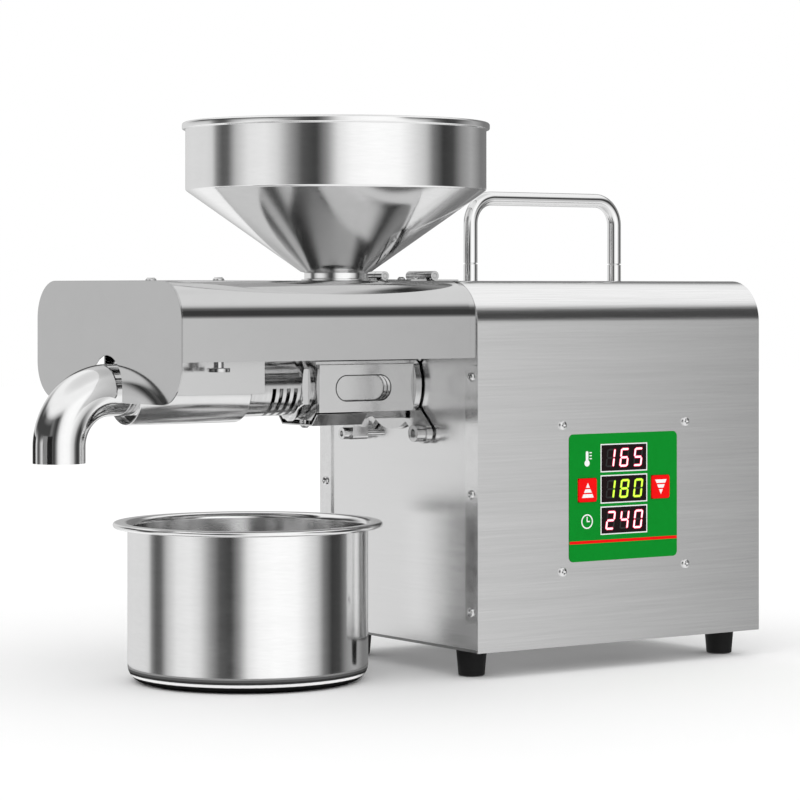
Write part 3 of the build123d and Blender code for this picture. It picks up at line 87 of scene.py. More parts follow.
def meshPiece(name, verts, faces, smoothAngle=meshCare["curveAngle"]):
    # joins doubled points, turns the faces outwards and shades curves smooth up to smoothAngle degrees
    mesh = bpy.data.meshes.new(name)
    mesh.from_pydata(((np.asarray(verts, float) + faceX * alongX) * mm).tolist(), [], faces)
    bm = bmesh.new()
    bm.from_mesh(mesh)
    bmesh.ops.remove_doubles(bm, verts=bm.verts, dist=meshCare["weld"])
    bmesh.ops.recalc_face_normals(bm, faces=bm.faces)
    bm.to_mesh(mesh)
    bm.free()
    mesh.shade_smooth()
    mesh.set_sharp_from_angle(angle=math.radians(smoothAngle))
    piece = bpy.data.objects.new(name, mesh)
    bpy.context.scene.collection.objects.link(piece)
    return piece


def ringSurface(name, centres, across, up, radii, count, closed):
    # point (i, k) = centre i + radius i * (cos a * across i + sin a * up i), where a = 2 pi k / count
    angle = np.linspace(0, 2 * math.pi, count, endpoint=False)
    ring = np.cos(angle)[None, :, None] * across[:, None] + np.sin(angle)[None, :, None] * up[:, None]
    verts = (centres[:, None] + np.asarray(radii)[:, None, None] * ring).reshape(-1, 3)
    rows = len(centres)
    i, k = np.meshgrid(np.arange(rows if closed else rows - 1), np.arange(count), indexing="ij")
    nextI = (i + 1) % rows
    nextK = (k + 1) % count
    corners = [i * count + k, nextI * count + k, nextI * count + nextK, i * count + nextK]
    faces = np.stack(corners, -1).reshape(-1, 4).tolist()
    return meshPiece(name, verts, faces)


def turned(name, profile, axis, origin, count):
    # a profile of (radius, distance along the axis) spun about that axis through origin
    profile = np.asarray(profile, float)
    across = np.roll(axis, 1)
    up = np.cross(axis, across)
    centres = np.asarray(origin, float) + profile[:, 1:] * axis
    across = np.tile(across, (len(profile), 1))
    up = np.tile(up, (len(profile), 1))
    return ringSurface(name, centres, across, up, profile[:, 0], count, True)


def pipe(name, path, radius, wall, count):
    # a round section carried along a flat path in X and Z; with a wall it comes back along the inside
    step = unit(np.diff(path, axis=0))
    tangent = unit(np.vstack([step[:1], step[:-1] + step[1:], step[-1:]]))
    across = np.tile(alongY, (len(path), 1))
    up = np.cross(tangent, across)
    if wall:
        rows = np.r_[np.arange(len(path)), np.arange(len(path))[::-1]]
        radii = np.r_[np.full(len(path), radius), np.full(len(path), radius - wall)]
        return ringSurface(name, path[rows], across[rows], up[rows], radii, count, True)
    rows = np.r_[0, np.arange(len(path)), len(path) - 1]
    radii = np.r_[0, np.full(len(path), radius), 0]
    return ringSurface(name, path[rows], across[rows], up[rows], radii, count, False)


def prism(name, outline, origin, uAxis, vAxis, depth):
    # outline points (u, v) laid on a plane and swept straight along the vector depth
    outline = np.asarray(outline, float)
    base = np.asarray(origin, float) + outline[:, :1] * uAxis + outline[:, 1:] * vAxis
    n = len(outline)
    k = np.arange(n)
    sides = np.stack([k, (k + 1) % n, (k + 1) % n + n, k + n], -1).tolist()
    ends = [k.tolist(), (k + n).tolist()]
    return meshPiece(name, np.vstack([base, base + depth]), sides + ends)


def manyPrisms(name, outlines, origin, uAxis, vAxis, depth):
    # the same as prism for a stack of outlines with equal point counts, in one mesh
    outlines = np.asarray(outlines, float)
    count, n = outlines.shape[:2]
    base = np.asarray(origin, float) + outlines[..., :1] * uAxis + outlines[..., 1:] * vAxis
    verts = np.concatenate([base, base + depth], 1).reshape(-1, 3)
    k = np.arange(n)
    sides = np.stack([k, (k + 1) % n, (k + 1) % n + n, k + n], -1)
    start = (np.arange(count) * 2 * n)[:, None, None]
    faces = (sides[None] + start).reshape(-1, 4).tolist()
    faces += (k[None] + start[:, 0]).tolist() + (k[None] + n + start[:, 0]).tolist()
    return meshPiece(name, verts, faces)


def easeEdges(piece, width):
    # a narrow rounding on every sharp edge, as on deburred sheet
    bevel = piece.modifiers.new("easedEdges", "BEVEL")
    bevel.width = width * mm
    bevel.segments = edgeCare["segments"]
    bevel.limit_method = "ANGLE"
    bevel.angle_limit = math.radians(edgeCare["fromAngle"])
    bevel.harden_normals = True
    normals = piece.modifiers.new("flatFacesStayFlat", "WEIGHTED_NORMAL")
    normals.keep_sharp = True


def refined(node, edge):
    # a copy of a CAD piece with its loose triangles joined, so that its curves shade smooth
    mesh = frame["nodes"][node].data.copy()
    bm = bmesh.new()
    bm.from_mesh(mesh)
    bmesh.ops.remove_doubles(bm, verts=bm.verts, dist=meshCare["weld"])
    flat = math.radians(meshCare["flatAngle"])
    bmesh.ops.dissolve_limit(bm, angle_limit=flat, verts=bm.verts, edges=bm.edges)
    bm.to_mesh(mesh)
    bm.free()
    mesh.shade_smooth()
    mesh.set_sharp_from_angle(angle=math.radians(meshCare["curveAngle"]))
    words = node.split("_")
    piece = bpy.data.objects.new(words[0] + "".join(w.capitalize() for w in words[1:]), mesh)
    bpy.context.scene.collection.objects.link(piece)
    if edge:
        easeEdges(piece, edge)
    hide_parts(node)
    return piece


bodyOf = {node: body for body, nodes in frame["record"]["behaviour"]["bodies"].items() for node in nodes}


def standFor(piece, node):
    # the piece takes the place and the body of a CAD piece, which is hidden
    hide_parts(node)
    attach(piece, bodyOf[node])
    return piece


def dress(piece, material):
    piece.data.materials.clear()
    piece.data.materials.append(material)
    return piece


def newGroup(name, inputs, outputs):
    tree = bpy.data.node_groups.new(name, "ShaderNodeTree")
    for label, kind, value in inputs:
        socket = tree.interface.new_socket(label, in_out="INPUT", socket_type=kind)
        if value is not None:
            socket.default_value = value
    for label, kind in outputs:
        tree.interface.new_socket(label, in_out="OUTPUT", socket_type=kind)
    return tree, tree.nodes.new("NodeGroupInput"), tree.nodes.new("NodeGroupOutput")


def addNode(tree, kind, values=None, **settings):
    node = tree.nodes.new(kind)
    for key, value in settings.items():
        setattr(node, key, value)
    for key, value in (values or {}).items():
        node.inputs[key].default_value = value
    return node


grainMix = dict(fineDetail=6.0, fineRough=0.65, broadScale=0.13, broadDetail=2.0, broadRough=0.5)
grainMix.update(broadShare=0.35, low=0.3, high=0.7)


def makeGrainGroup(s):
    # noise stretched along one direction: brushing on sheet, turning marks on bar, grain on moulded parts
    # the mask is the fine and the broad noise in their shares, with low to high spread over 0 to 1
    inputs = [
        ("Vector", "NodeSocketVector", None),
        ("Stretch", "NodeSocketVector", (1, 1, 1)),
        ("Dark", "NodeSocketColor", (0.5, 0.5, 0.5, 1)),
        ("Light", "NodeSocketColor", (0.6, 0.6, 0.6, 1)),
        ("Smooth", "NodeSocketFloat", 0.2),
        ("Rough", "NodeSocketFloat", 0.3),
    ]
    outputs = [
        ("Color", "NodeSocketColor"),
        ("Roughness", "NodeSocketFloat"),
        ("Height", "NodeSocketFloat"),
    ]
    tree, source, sink = newGroup("stretchedGrain", inputs, outputs)
    scaled = addNode(tree, "ShaderNodeVectorMath", operation="MULTIPLY")
    fineLooks = {"Scale": 1.0, "Detail": s["fineDetail"], "Roughness": s["fineRough"]}
    broadLooks = {"Scale": s["broadScale"], "Detail": s["broadDetail"], "Roughness": s["broadRough"]}
    fine = addNode(tree, "ShaderNodeTexNoise", fineLooks)
    broad = addNode(tree, "ShaderNodeTexNoise", broadLooks)
    mixed = addNode(tree, "ShaderNodeMath", {1: 1 - s["broadShare"]}, operation="MULTIPLY")
    blend = addNode(tree, "ShaderNodeMath", {1: s["broadShare"]}, operation="MULTIPLY_ADD")
    spread = addNode(tree, "ShaderNodeMapRange", {"From Min": s["low"], "From Max": s["high"]})
    tint = addNode(tree, "ShaderNodeMix", data_type="RGBA")
    rough = addNode(tree, "ShaderNodeMapRange", {"From Min": 0.0, "From Max": 1.0})
    link = tree.links.new
    link(source.outputs["Vector"], scaled.inputs[0])
    link(source.outputs["Stretch"], scaled.inputs[1])
    link(scaled.outputs[0], fine.inputs["Vector"])
    link(scaled.outputs[0], broad.inputs["Vector"])
    link(broad.outputs["Fac"], blend.inputs[0])
    link(fine.outputs["Fac"], mixed.inputs[0])
    link(mixed.outputs[0], blend.inputs[2])
    link(blend.outputs[0], spread.inputs["Value"])
    link(spread.outputs["Result"], tint.inputs["Factor"])
    link(source.outputs["Dark"], tint.inputs["A"])
    link(source.outputs["Light"], tint.inputs["B"])
    link(spread.outputs["Result"], rough.inputs["Value"])
    link(source.outputs["Smooth"], rough.inputs["To Min"])
    link(source.outputs["Rough"], rough.inputs["To Max"])
    link(tint.outputs["Result"], sink.inputs["Color"])
    link(rough.outputs["Result"], sink.inputs["Roughness"])
    link(spread.outputs["Result"], sink.inputs["Height"])
    return tree


grainGroup = makeGrainGroup(grainMix)
grainDepth = 0.0002  # metres


def makeFinish(name, looks):
    # the grain's colour, roughness and height on one Principled shader
    material = bpy.data.materials.new(name)
    material.use_nodes = True
    tree = material.node_tree
    shader = tree.nodes["Principled BSDF"]
    coords = addNode(tree, "ShaderNodeTexCoord")
    grain = addNode(tree, "ShaderNodeGroup", node_tree=grainGroup)
    grain.inputs["Stretch"].default_value = looks["stretch"]
    grain.inputs["Dark"].default_value = (*looks["dark"], 1)
    grain.inputs["Light"].default_value = (*looks["light"], 1)
    grain.inputs["Smooth"].default_value = looks["smooth"]
    grain.inputs["Rough"].default_value = looks["rough"]
    bump = addNode(tree, "ShaderNodeBump", {"Strength": looks["bump"], "Distance": grainDepth})
    link = tree.links.new
    link(coords.outputs["Object"], grain.inputs["Vector"])
    link(grain.outputs["Color"], shader.inputs["Base Color"])
    link(grain.outputs["Roughness"], shader.inputs["Roughness"])
    link(grain.outputs["Height"], bump.inputs["Height"])
    link(bump.outputs["Normal"], shader.inputs["Normal"])
    for key, value in looks.get("shader", {}).items():
        shader.inputs[key].default_value = value
    if "glow" in looks:
        link(grain.outputs["Color"], shader.inputs["Emission Color"])
        shader.inputs["Emission Strength"].default_value = looks["glow"]
    return material


metal = {"Metallic": 1.0}
film = {"Specular IOR Level": 0.06}
dull = {"Specular IOR Level": 0.15}


def look(dark, light, rough, stretch, bump=0.0, shader=None, glow=None):
    # dark and light are colours or grey levels, rough is a pair of limits
    # stretch is the grain's count per metre, one for all directions or one for each
    asColour = [v if isinstance(v, tuple) else (v, v, v) for v in (dark, light)]
    stretch = stretch if isinstance(stretch, tuple) else (stretch,) * 3
    made = dict(dark=asColour[0], light=asColour[1], smooth=rough[0], rough=rough[1])
    made.update(stretch=stretch, bump=bump)
    if shader:
        made["shader"] = shader
    if glow:
        made["glow"] = glow
    return made


finishLooks = {
    "mirrorSteel": look(0.84, 0.90, (0.06, 0.10), 60, 0.01, metal),
    "spunSteel": look(0.84, 0.90, (0.09, 0.13), (90, 90, 700), 0.01, metal),
    "satinSteel": look(0.76, 0.82, (0.15, 0.20), 60, 0.01, metal),
    "mirrorSheet": look(0.62, 0.65, (0.05, 0.09), (40, 60, 60), 0.01, metal),
    "endSheet": look(0.56, 0.58, (0.04, 0.08), (60, 40, 60), 0.01, metal),
    "brushedSheet": look(0.78, 0.94, (0.11, 0.19), (14, 900, 900), 0.10, metal),
    "brushedPlate": look(0.90, 0.99, (0.18, 0.26), (900, 14, 900), 0.04, metal),
    "rearSheet": look(0.68, 0.78, (0.18, 0.26), (900, 14, 900), 0.04, metal),
    "polishedSteel": look(0.72, 0.80, (0.07, 0.12), 90, 0.01, metal),
    "turnedSteel": look(0.60, 0.72, (0.10, 0.18), (700, 60, 60), 0.03, metal),
    "milledSteel": look(0.66, 0.74, (0.10, 0.17), (50, 300, 300), 0.02, metal),
    "screwSteel": look(0.62, 0.74, (0.10, 0.18), 400, 0.02, metal),
    "gearSteel": look(0.38, 0.48, (0.2, 0.34), (200, 300, 300), 0.04, metal),
    # a near black metal that paints shade along the edges of the bracket windows
    "paintedEdgeShade": look(0.10, 0.16, (0.2, 0.3), 200, 0.02, metal),
    "castAlloy": look(0.40, 0.52, (0.45, 0.6), 500, 0.3, metal),
    "zincSheet": look(0.36, 0.46, (0.35, 0.5), 90, 0.05, metal),
    "footRubber": look(0.006, 0.011, (0.5, 0.68), 900, 0.25, dull),
    "greenFilm": look((0.0005, 0.24, 0.018), (0.001, 0.27, 0.023), (0.4, 0.5), 1500, 0.04, film),
    "redFilm": look((0.85, 0.002, 0.003), (0.95, 0.004, 0.004), (0.4, 0.5), 1500, 0.04, film),
    "whiteInk": look(0.92, 0.97, (0.4, 0.5), 1200, 0.02),
    "blackLens": look((0.006, 0.002, 0.003), (0.012, 0.004, 0.005), (0.12, 0.2), 900, 0.02, dull),
    "redLamp": look((1.0, 0.56, 0.62), (1.0, 0.78, 0.82), (0.4, 0.5), 700, glow=0.9),
    "redHalo": look((0.60, 0.0, 0.05), (0.85, 0.01, 0.10), (0.4, 0.5), 700, glow=0.6),
    "limeLamp": look((0.50, 0.95, 0.02), (0.66, 1.0, 0.06), (0.4, 0.5), 700, glow=0.75),
    "limeHalo": look((0.10, 0.22, 0.0), (0.16, 0.32, 0.01), (0.4, 0.5), 700, glow=0.4),
    "unlitLamp": look(0.010, 0.016, (0.3, 0.4), 700),
    "boardGreen": look((0.01, 0.08, 0.03), (0.015, 0.12, 0.045), (0.35, 0.5), 300, 0.1),
    "switchBlack": look(0.012, 0.02, (0.32, 0.45), 1200, 0.15),
}
finish = {name: makeFinish(name, looks) for name, looks in finishLooks.items()}
print("made", len(finish), "finishes")

bowlSizes = dict(x=-134.5, radius=90.0, wall=1.5, height=118.0, corner=12.0, rim=101.0)
bowlSizes.update(bead=1.9, beadGap=0.2, beadFoot=0.6, throat=3.0, arcSteps=14, sides=192)


def makeBowl(s):
    # outside and inside of the pot as one profile with rounded corners, spun about its upright axis
    lip = 2 * s["bead"] + s["beadGap"]
    inner = s["corner"] - s["wall"]
    bead = s["bead"]
    corners = [
        (0, 0),
        (s["radius"], 0),
        (s["radius"], s["height"] - s["wall"]),
        (s["rim"] - lip, s["height"] - s["wall"]),
        (s["rim"] - lip, s["height"] - lip),
        (s["rim"], s["height"] - lip),
        (s["rim"], s["height"]),
        (s["radius"] - s["wall"], s["height"]),
        (s["radius"] - s["wall"], s["wall"]),
        (0, s["wall"]),
    ]
    radii = [0, s["corner"], s["throat"], s["beadFoot"], bead, bead, bead, s["throat"] + s["wall"], inner, 0]
    profile = roundedPath(corners, radii, s["arcSteps"])
    return turned("bowlPot", profile, alongZ, (s["x"], 0, 0), s["sides"])


dress(standFor(makeBowl(bowlSizes), "bowl"), finish["spunSteel"])

hopperSizes = dict(x=-55.6, radius=114.9, wall=1.2, rim=418.5, bead=2.6, beadGap=0.2)
hopperSizes.update(coneTop=367.0, coneLow=305.0, shoulderDrop=0.6, shoulderOut=2.8, innerRise=0.5)
hopperSizes.update(neck=24.2, neckLow=285.0, ringLow=298.2, ringHigh=299.4, ringOut=2.3)
hopperSizes.update(arcSteps=12, sides=224)
hopperRounding = [0.2, 0.3, 0.3, 0.3, 0.5, 0.6, 1.0, 2.5, 0.4, 1.2, 2.0, 1.6, 3.0, 1.0, 0.2]


def makeHopper(s):
    # neck, cone, wall and rolled rim, then back down the inside, as one profile spun about its upright axis
    neck = s["neck"]
    outer = s["radius"]
    edge = outer + s["bead"]
    curl = 2 * s["bead"] + s["beadGap"]
    ring = neck + s["ringOut"]
    corners = [
        (neck, s["neckLow"]),
        (neck, s["ringLow"]),
        (ring, s["ringLow"]),
        (ring, s["ringHigh"]),
        (neck, s["ringHigh"]),
        (neck, s["coneLow"] - s["shoulderDrop"]),
        (neck + s["shoulderOut"], s["coneLow"]),
        (outer, s["coneTop"]),
        (outer, s["rim"] - curl),
        (edge, s["rim"] - curl),
        (edge, s["rim"]),
        (outer - s["wall"], s["rim"]),
        (outer - s["wall"], s["coneTop"] + s["innerRise"]),
        (neck - s["wall"], s["coneLow"] + s["innerRise"]),
        (neck - s["wall"], s["neckLow"]),
    ]
    profile = roundedPath(corners, hopperRounding, s["arcSteps"])
    return turned("hopperShell", profile, alongZ, (s["x"], 0, 0), s["sides"])


dress(standFor(makeHopper(hopperSizes), "hopper"), finish["spunSteel"])

spoutSizes = dict(start=-150.0, legX=-294.0, axisZ=218.5, mouthZ=166.7, bend=40.0, radius=19.0, wall=1.5)
spoutSizes.update(arcSteps=32, sides=96)


def makeElbow(s):
    # a round tube along a level run, one bend and a leg straight down
    corners = [(s["start"], 0, s["axisZ"]), (s["legX"], 0, s["axisZ"]), (s["legX"], 0, s["mouthZ"])]
    path = roundedPath(corners, [0, s["bend"], 0], s["arcSteps"])
    return pipe("elbowTube", path, s["radius"], s["wall"], s["sides"])


dress(standFor(makeElbow(spoutSizes), "spout_elbow"), finish["mirrorSteel"])

sleeveSizes = dict(front=-240.0, rear=-146.0, radius=26.0, wall=1.5, hub=17.5, rearWall=2.0)
sleeveSizes.update(arcSteps=8, sides=96)
sleeveRounding = [0.4, 0.6, 2.0, 0.2, 0.2, 0.5]


def makeSleeve(s):
    # a cup with a hole in its rear wall, as one profile spun about the screw's axis
    inner = s["radius"] - s["wall"]
    corners = [
        (inner, s["front"]),
        (s["radius"], s["front"]),
        (s["radius"], s["rear"]),
        (s["hub"], s["rear"]),
        (s["hub"], s["rear"] - s["rearWall"]),
        (inner, s["rear"] - s["rearWall"]),
    ]
    profile = roundedPath(corners, sleeveRounding, s["arcSteps"])
    return turned("sleeveTube", profile, alongX, (0, 0, spoutSizes["axisZ"]), s["sides"])


dress(standFor(makeSleeve(sleeveSizes), "discharge_sleeve"), finish["satinSteel"])

handleSizes = dict(front=71.5, span=145.0, low=312.5, high=363.5, bend=20.0, radius=5.5)
handleSizes.update(arcSteps=20, sides=48)


def makeHandle(s):
    # a solid round bar up, across and down, with two bends
    front = s["front"]
    rear = front + s["span"]
    corners = [(front, 0, s["low"]), (front, 0, s["high"]), (rear, 0, s["high"]), (rear, 0, s["low"])]
    path = roundedPath(corners, [0, s["bend"], s["bend"], 0], s["arcSteps"])
    return pipe("handleTube", path, s["radius"], 0, s["sides"])


dress(standFor(makeHandle(handleSizes), "handle_bar"), finish["mirrorSteel"])
print("made the turned and bent pieces")

# pieces whose CAD shape is right get eased edges and their finish
refinedLooks = {
    "endSheet": ["cover_end_plate"],
    "satinSteel": ["bracket_plates", "barrel_block", "heat_shield"],
    "mirrorSheet": ["barrel_cover", "cover_collar", "oil_tray"],
    "brushedSheet": ["wrap_shell"],
    "brushedPlate": ["front_plate"],
    "rearSheet": ["rear_plate"],
    "mirrorSteel": ["handle_posts", "spout_ring"],
    "turnedSteel": ["slotted_barrel", "press_head", "press_screw", "feed_throat"],
    "milledSteel": ["mounting_flange"],
    "polishedSteel": [
        "lock_nut", "cover_hinges", "housing_hinges", "hinge_pins", "cross_pin", "block_screws",
    ],
    "screwSteel": [
        "foot_screws", "handle_nuts", "cover_screws", "sleeve_nuts", "hinge_screws", "flange_screws",
        "heaters_and_probe",
    ],
    "gearSteel": ["output_shaft", "output_gear", "idler_shaft", "idler_gear", "motor_rotor", "bearings"],
    "castAlloy": ["gearbox_case", "gearbox_cover", "motor_end_bells"],
    "zincSheet": ["base_plate", "motor_cradle", "motor_can"],
    "footRubber": ["feet"],
    "greenFilm": ["panel_overlay"],
    "redFilm": ["up_button", "down_button"],
    "blackLens": ["display_windows"],
    "boardGreen": ["control_board"],
    "switchBlack": ["switch_bodies", "power_rocker", "motor_rocker", "power_inlet", "motor_fan"],
}
edgeWidths = {
    "barrel_block": 0.8,
    "bracket_plates": 0.5,
    "lock_nut": 0.4,
    "feet": 0.8,
    "panel_overlay": 0.15,
    "up_button": 0.4,
    "down_button": 0.4,
    "press_screw": 0.0,
    "output_gear": 0.0,
    "idler_gear": 0.0,
    "idler_shaft": 0.0,
    "motor_rotor": 0.0,
}
for name, nodes in refinedLooks.items():
    for node in nodes:
        piece = refined(node, edgeWidths.get(node, edgeCare["width"]))
        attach(piece, bodyOf[node])
        dress(piece, finish[name])
print("dressed the carried-over pieces")

# a thin dark line round each bracket window, painted shade along the window's edge
windowShadeSizes = dict(length=50.0, height=19.4, fromFront=15.0, fromLow=18.0, radius=0.42)
windowShadeSizes.update(endFlat=0.01, sides=10, arcSteps=14)
bracketBox = [corner / mm for corner in map(np.array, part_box("bracket_plates"))]


def makeWindowShadeLine(name, faceY, s):
    # a half round line carried round the window's outline, sunk to its middle in the plate's face; its dark
    # finish is painted shade
    low = bracketBox[0] - faceX * alongX
    middle = np.array([low[0] + s["fromFront"] + s["length"] / 2, faceY, low[2] + s["fromLow"]])
    half = np.array([s["length"] / 2, s["height"] / 2])
    corners = [(-half[0], -half[1]), (half[0], -half[1]), (half[0], half[1]), (-half[0], half[1])]
    flat = roundedPath(corners, [half[1] - s["endFlat"]] * 4, s["arcSteps"])
    path = middle + flat[:, :1] * alongX + flat[:, 1:] * alongZ
    tangent = unit(np.roll(path, -1, 0) - np.roll(path, 1, 0))
    up = np.tile(alongY, (len(path), 1))
    radii = np.full(len(path), s["radius"])
    return ringSurface(name, path, np.cross(tangent, up), up, radii, s["sides"], True)


for name, faceY in (("windowShadeLineFront", bracketBox[0][1]), ("windowShadeLineRear", bracketBox[1][1])):
    bead = makeWindowShadeLine(name, faceY, windowShadeSizes)
    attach(bead, bodyOf["bracket_plates"])
    # the line's dark finish is painted shade at the window's edge
    dress(bead, finish["paintedEdgeShade"])

# pan head screws with a cross recess; slotHalf, slotReach, wall and the two lists are shares of the radius
headSizes = dict(radius=3.5, height=2.2, edge=0.7, shank=1.5, smoothAngle=40.0)
headSizes.update(slotHalf=0.16, slotReach=0.62, slotDepth=1.5, slotRise=0.5, wall=0.03)
headSizes.update(innerLines=[0.3, 0.45], outerLines=[0.70, 0.79, 0.87, 0.94, 1.0])
shellScrewLength = 8.0
panelScrewLength = 12.1
shellFaces = (0.0, 278.0)
shellScrewPlaces = [(x, y, z) for x in shellFaces for y in (-99.1, 99.1) for z in (50.0, 138.0, 226.0)]
panelScrewPlaces = [(x, -107.5, z) for x in (79.7, 201.2) for z in (76.7, 188.1)]


def headSurface(s):
    # a square grid that stays square round the recess and becomes a disc at its edge, lifted to a dome
    tiny = 1e-9
    foot = [s["slotHalf"], s["slotHalf"] + s["wall"]]
    end = [s["slotReach"] - s["wall"], s["slotReach"]]
    half = np.array(foot + s["innerLines"] + end + s["outerLines"])
    line = np.r_[-half[::-1], 0.0, half]
    u, v = np.meshgrid(line, line, indexing="ij")
    most = np.maximum(abs(u), abs(v))
    blend = np.clip((most - s["slotReach"]) / (1 - s["slotReach"]), 0, 1)
    onDisc = most / np.maximum(np.hypot(u, v), tiny)
    scale = 1 + blend * (onDisc - 1)
    across = np.hypot(u, v) * scale
    dome = s["edge"] + (s["height"] - s["edge"]) * np.sqrt(np.clip(1 - across**2, 0, 1))
    floor = s["height"] - s["slotDepth"] * (1 - s["slotRise"] * (most / s["slotReach"]) ** 2)
    slim = np.minimum(abs(u), abs(v)) <= s["slotHalf"] + tiny
    inSlot = slim & (most <= s["slotReach"] - s["wall"] + tiny)
    return np.stack([u * scale * s["radius"], v * scale * s["radius"], np.where(inSlot, floor, dome)], -1)


def makeScrews(name, places, outward, up, length, s):
    # the head's grid closed below by rings of the rim, the shank's top, its foot and the foot's centre
    grid = headSurface(s)
    n = len(grid)
    index = np.arange(n * n).reshape(n, n)
    top = np.stack([index[:-1, :-1], index[1:, :-1], index[1:, 1:], index[:-1, 1:]], -1).reshape(-1, 4)
    rim = np.r_[index[0, :-1], index[:-1, -1], index[-1, :0:-1], index[:0:-1, 0]]
    turn = np.arctan2(grid.reshape(-1, 3)[rim, 1], grid.reshape(-1, 3)[rim, 0])
    ring = np.stack([np.cos(turn), np.sin(turn)], -1)
    steps = [(s["radius"], 0.0), (s["shank"], 0.0), (s["shank"], -length), (0.0, -length)]
    rings = [np.c_[ring * radius, np.full(len(rim), z)] for radius, z in steps]
    k = np.arange(len(rim))
    nextK = np.roll(k, -1)
    below = [n * n + i * len(rim) for i in range(len(steps))]
    faces = [top, np.stack([rim[nextK], rim[k], below[0] + k, below[0] + nextK], -1)]
    faces += [np.stack([a + nextK, a + k, b + k, b + nextK], -1) for a, b in zip(below, below[1:])]
    local = np.vstack([grid.reshape(-1, 3)] + rings)
    faces = np.vstack(faces)
    every = []
    for place, out in zip(np.asarray(places, float), outward):
        side = np.cross(up, out)
        every.append(place + local[:, :1] * side + local[:, 1:2] * np.asarray(up) + local[:, 2:] * out)
    shift = (np.arange(len(every)) * len(local))[:, None, None]
    faces = (faces[None] + shift).reshape(-1, 4).tolist()
    return meshPiece(name, np.vstack(every), faces, s["smoothAngle"])


shellOut = [-alongX if x == shellFaces[0] else alongX for x, y, z in shellScrewPlaces]
panelOut = [-alongY] * len(panelScrewPlaces)
shellScrews = makeScrews("shellScrews", shellScrewPlaces, shellOut, alongZ, shellScrewLength, headSizes)
panelScrews = makeScrews("panelScrews", panelScrewPlaces, panelOut, alongZ, panelScrewLength, headSizes)
dress(standFor(shellScrews, "shell_screws"), finish["polishedSteel"])
dress(standFor(panelScrews, "panel_screws"), finish["polishedSteel"])
print("made the screws with a cross recess")

# the control panel: bite is how deep a printed piece sits in the film, lift how far it stands out
panelSizes = dict(x=139.2, skinY=-108.1, lensY=-108.6, rows=(162.0, 138.0, 114.0), bite=0.05)
panelSizes.update(windowW=44.0, windowH=19.6, frame=0.85, frameGap=0.2, frameLift=0.15)
digitSizes = dict(height=14.1, width=8.2, stroke=1.35, lean=0.14, pitch=13.6, gap=0.15)
haloDigit = dict(lit=True, grow=0.42, lift=0.04)
litDigit = dict(lit=True, grow=0.0, lift=0.08)
offDigit = dict(lit=False, grow=0.0, lift=0.03)
litSegments = {
    "0": "abcdef", "1": "bc", "2": "abged", "3": "abgcd", "4": "fgbc",
    "5": "afgcd", "6": "afgedc", "7": "abc", "8": "abcdefg", "9": "abcdfg",
}
readouts = (("165", "red"), ("180", "lime"), ("240", "red"))


def segmentOutlines(s, grow):
    # the seven bars of one digit as pointed hexagons, each a half length and a half width about its centre
    w = s["width"] / 2
    h = s["height"] / 2
    t = s["stroke"] / 2
    right = w - t
    top = h - t
    upper = [(0, top), (right, h / 2)]
    lower = [(right, -h / 2), (0, -top), (-right, -h / 2)]
    centres = np.array(upper + lower + [(-right, h / 2), (0, 0)])
    isLevel = np.array([1, 0, 0, 1, 0, 0, 1])[:, None]
    half = np.where(isLevel, w - t - s["gap"], h / 2 - t / 2 - s["gap"]) + grow
    long = np.hstack([isLevel, 1 - isLevel])
    wide = long[:, ::-1] * (t + grow)
    tip = long * half
    neck = long * (half - t)
    around = [tip, neck + wide, wide - neck, -tip, -neck - wide, neck - wide]
    outline = np.stack([centres + corner for corner in around], 1)
    outline[..., 0] += outline[..., 1] * s["lean"]
    return outline


def makeReadout(name, text, z, s):
    # the lit or the unlit bars of three digits, side by side at one pitch
    outlines = segmentOutlines(digitSizes, s["grow"])
    shown = [[(bar in litSegments[c]) == s["lit"] for bar in "abcdefg"] for c in text]
    shift = (np.arange(len(text)) - 1)[:, None, None, None] * digitSizes["pitch"] * np.array([1, 0])
    every = (outlines[None] + shift)[np.array(shown)]
    origin = (panelSizes["x"], panelSizes["lensY"], z)
    return manyPrisms(name, every, origin, alongX, alongZ, -s["lift"] * alongY)


def makeWindowFrame(name, z):
    # four flat bars round a window
    s = panelSizes
    w = s["windowW"] / 2 + s["frameGap"]
    h = s["windowH"] / 2 + s["frameGap"]
    f = s["frame"]
    bars = [
        [(-w - f, h), (w + f, h), (w + f, h + f), (-w - f, h + f)],
        [(-w - f, -h - f), (w + f, -h - f), (w + f, -h), (-w - f, -h)],
        [(-w - f, -h), (-w, -h), (-w, h), (-w - f, h)],
        [(w, -h), (w + f, -h), (w + f, h), (w, h)],
    ]
    origin = (s["x"], s["skinY"] + s["bite"], z)
    return manyPrisms(name, bars, origin, alongX, alongZ, -s["frameLift"] * alongY)


for row, (z, (text, hue)) in enumerate(zip(panelSizes["rows"], readouts)):
    parts = [
        (makeWindowFrame(f"windowFrame{row}", z), "whiteInk"),
        (makeReadout(f"digitHalo{row}", text, z, haloDigit), hue + "Halo"),
        (makeReadout(f"digitLit{row}", text, z, litDigit), hue + "Lamp"),
        (makeReadout(f"digitOff{row}", text, z, offDigit), "unlitLamp"),
    ]
    for piece, name in parts:
        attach(piece, "root")
        dress(piece, finish[name])

arrowSizes = dict(offset=36.15, z=138.0, faceY=-109.0, base=11.4, height=11.4, gap=1.1, bars=3)
arrowSizes.update(bite=0.03, lift=0.1)


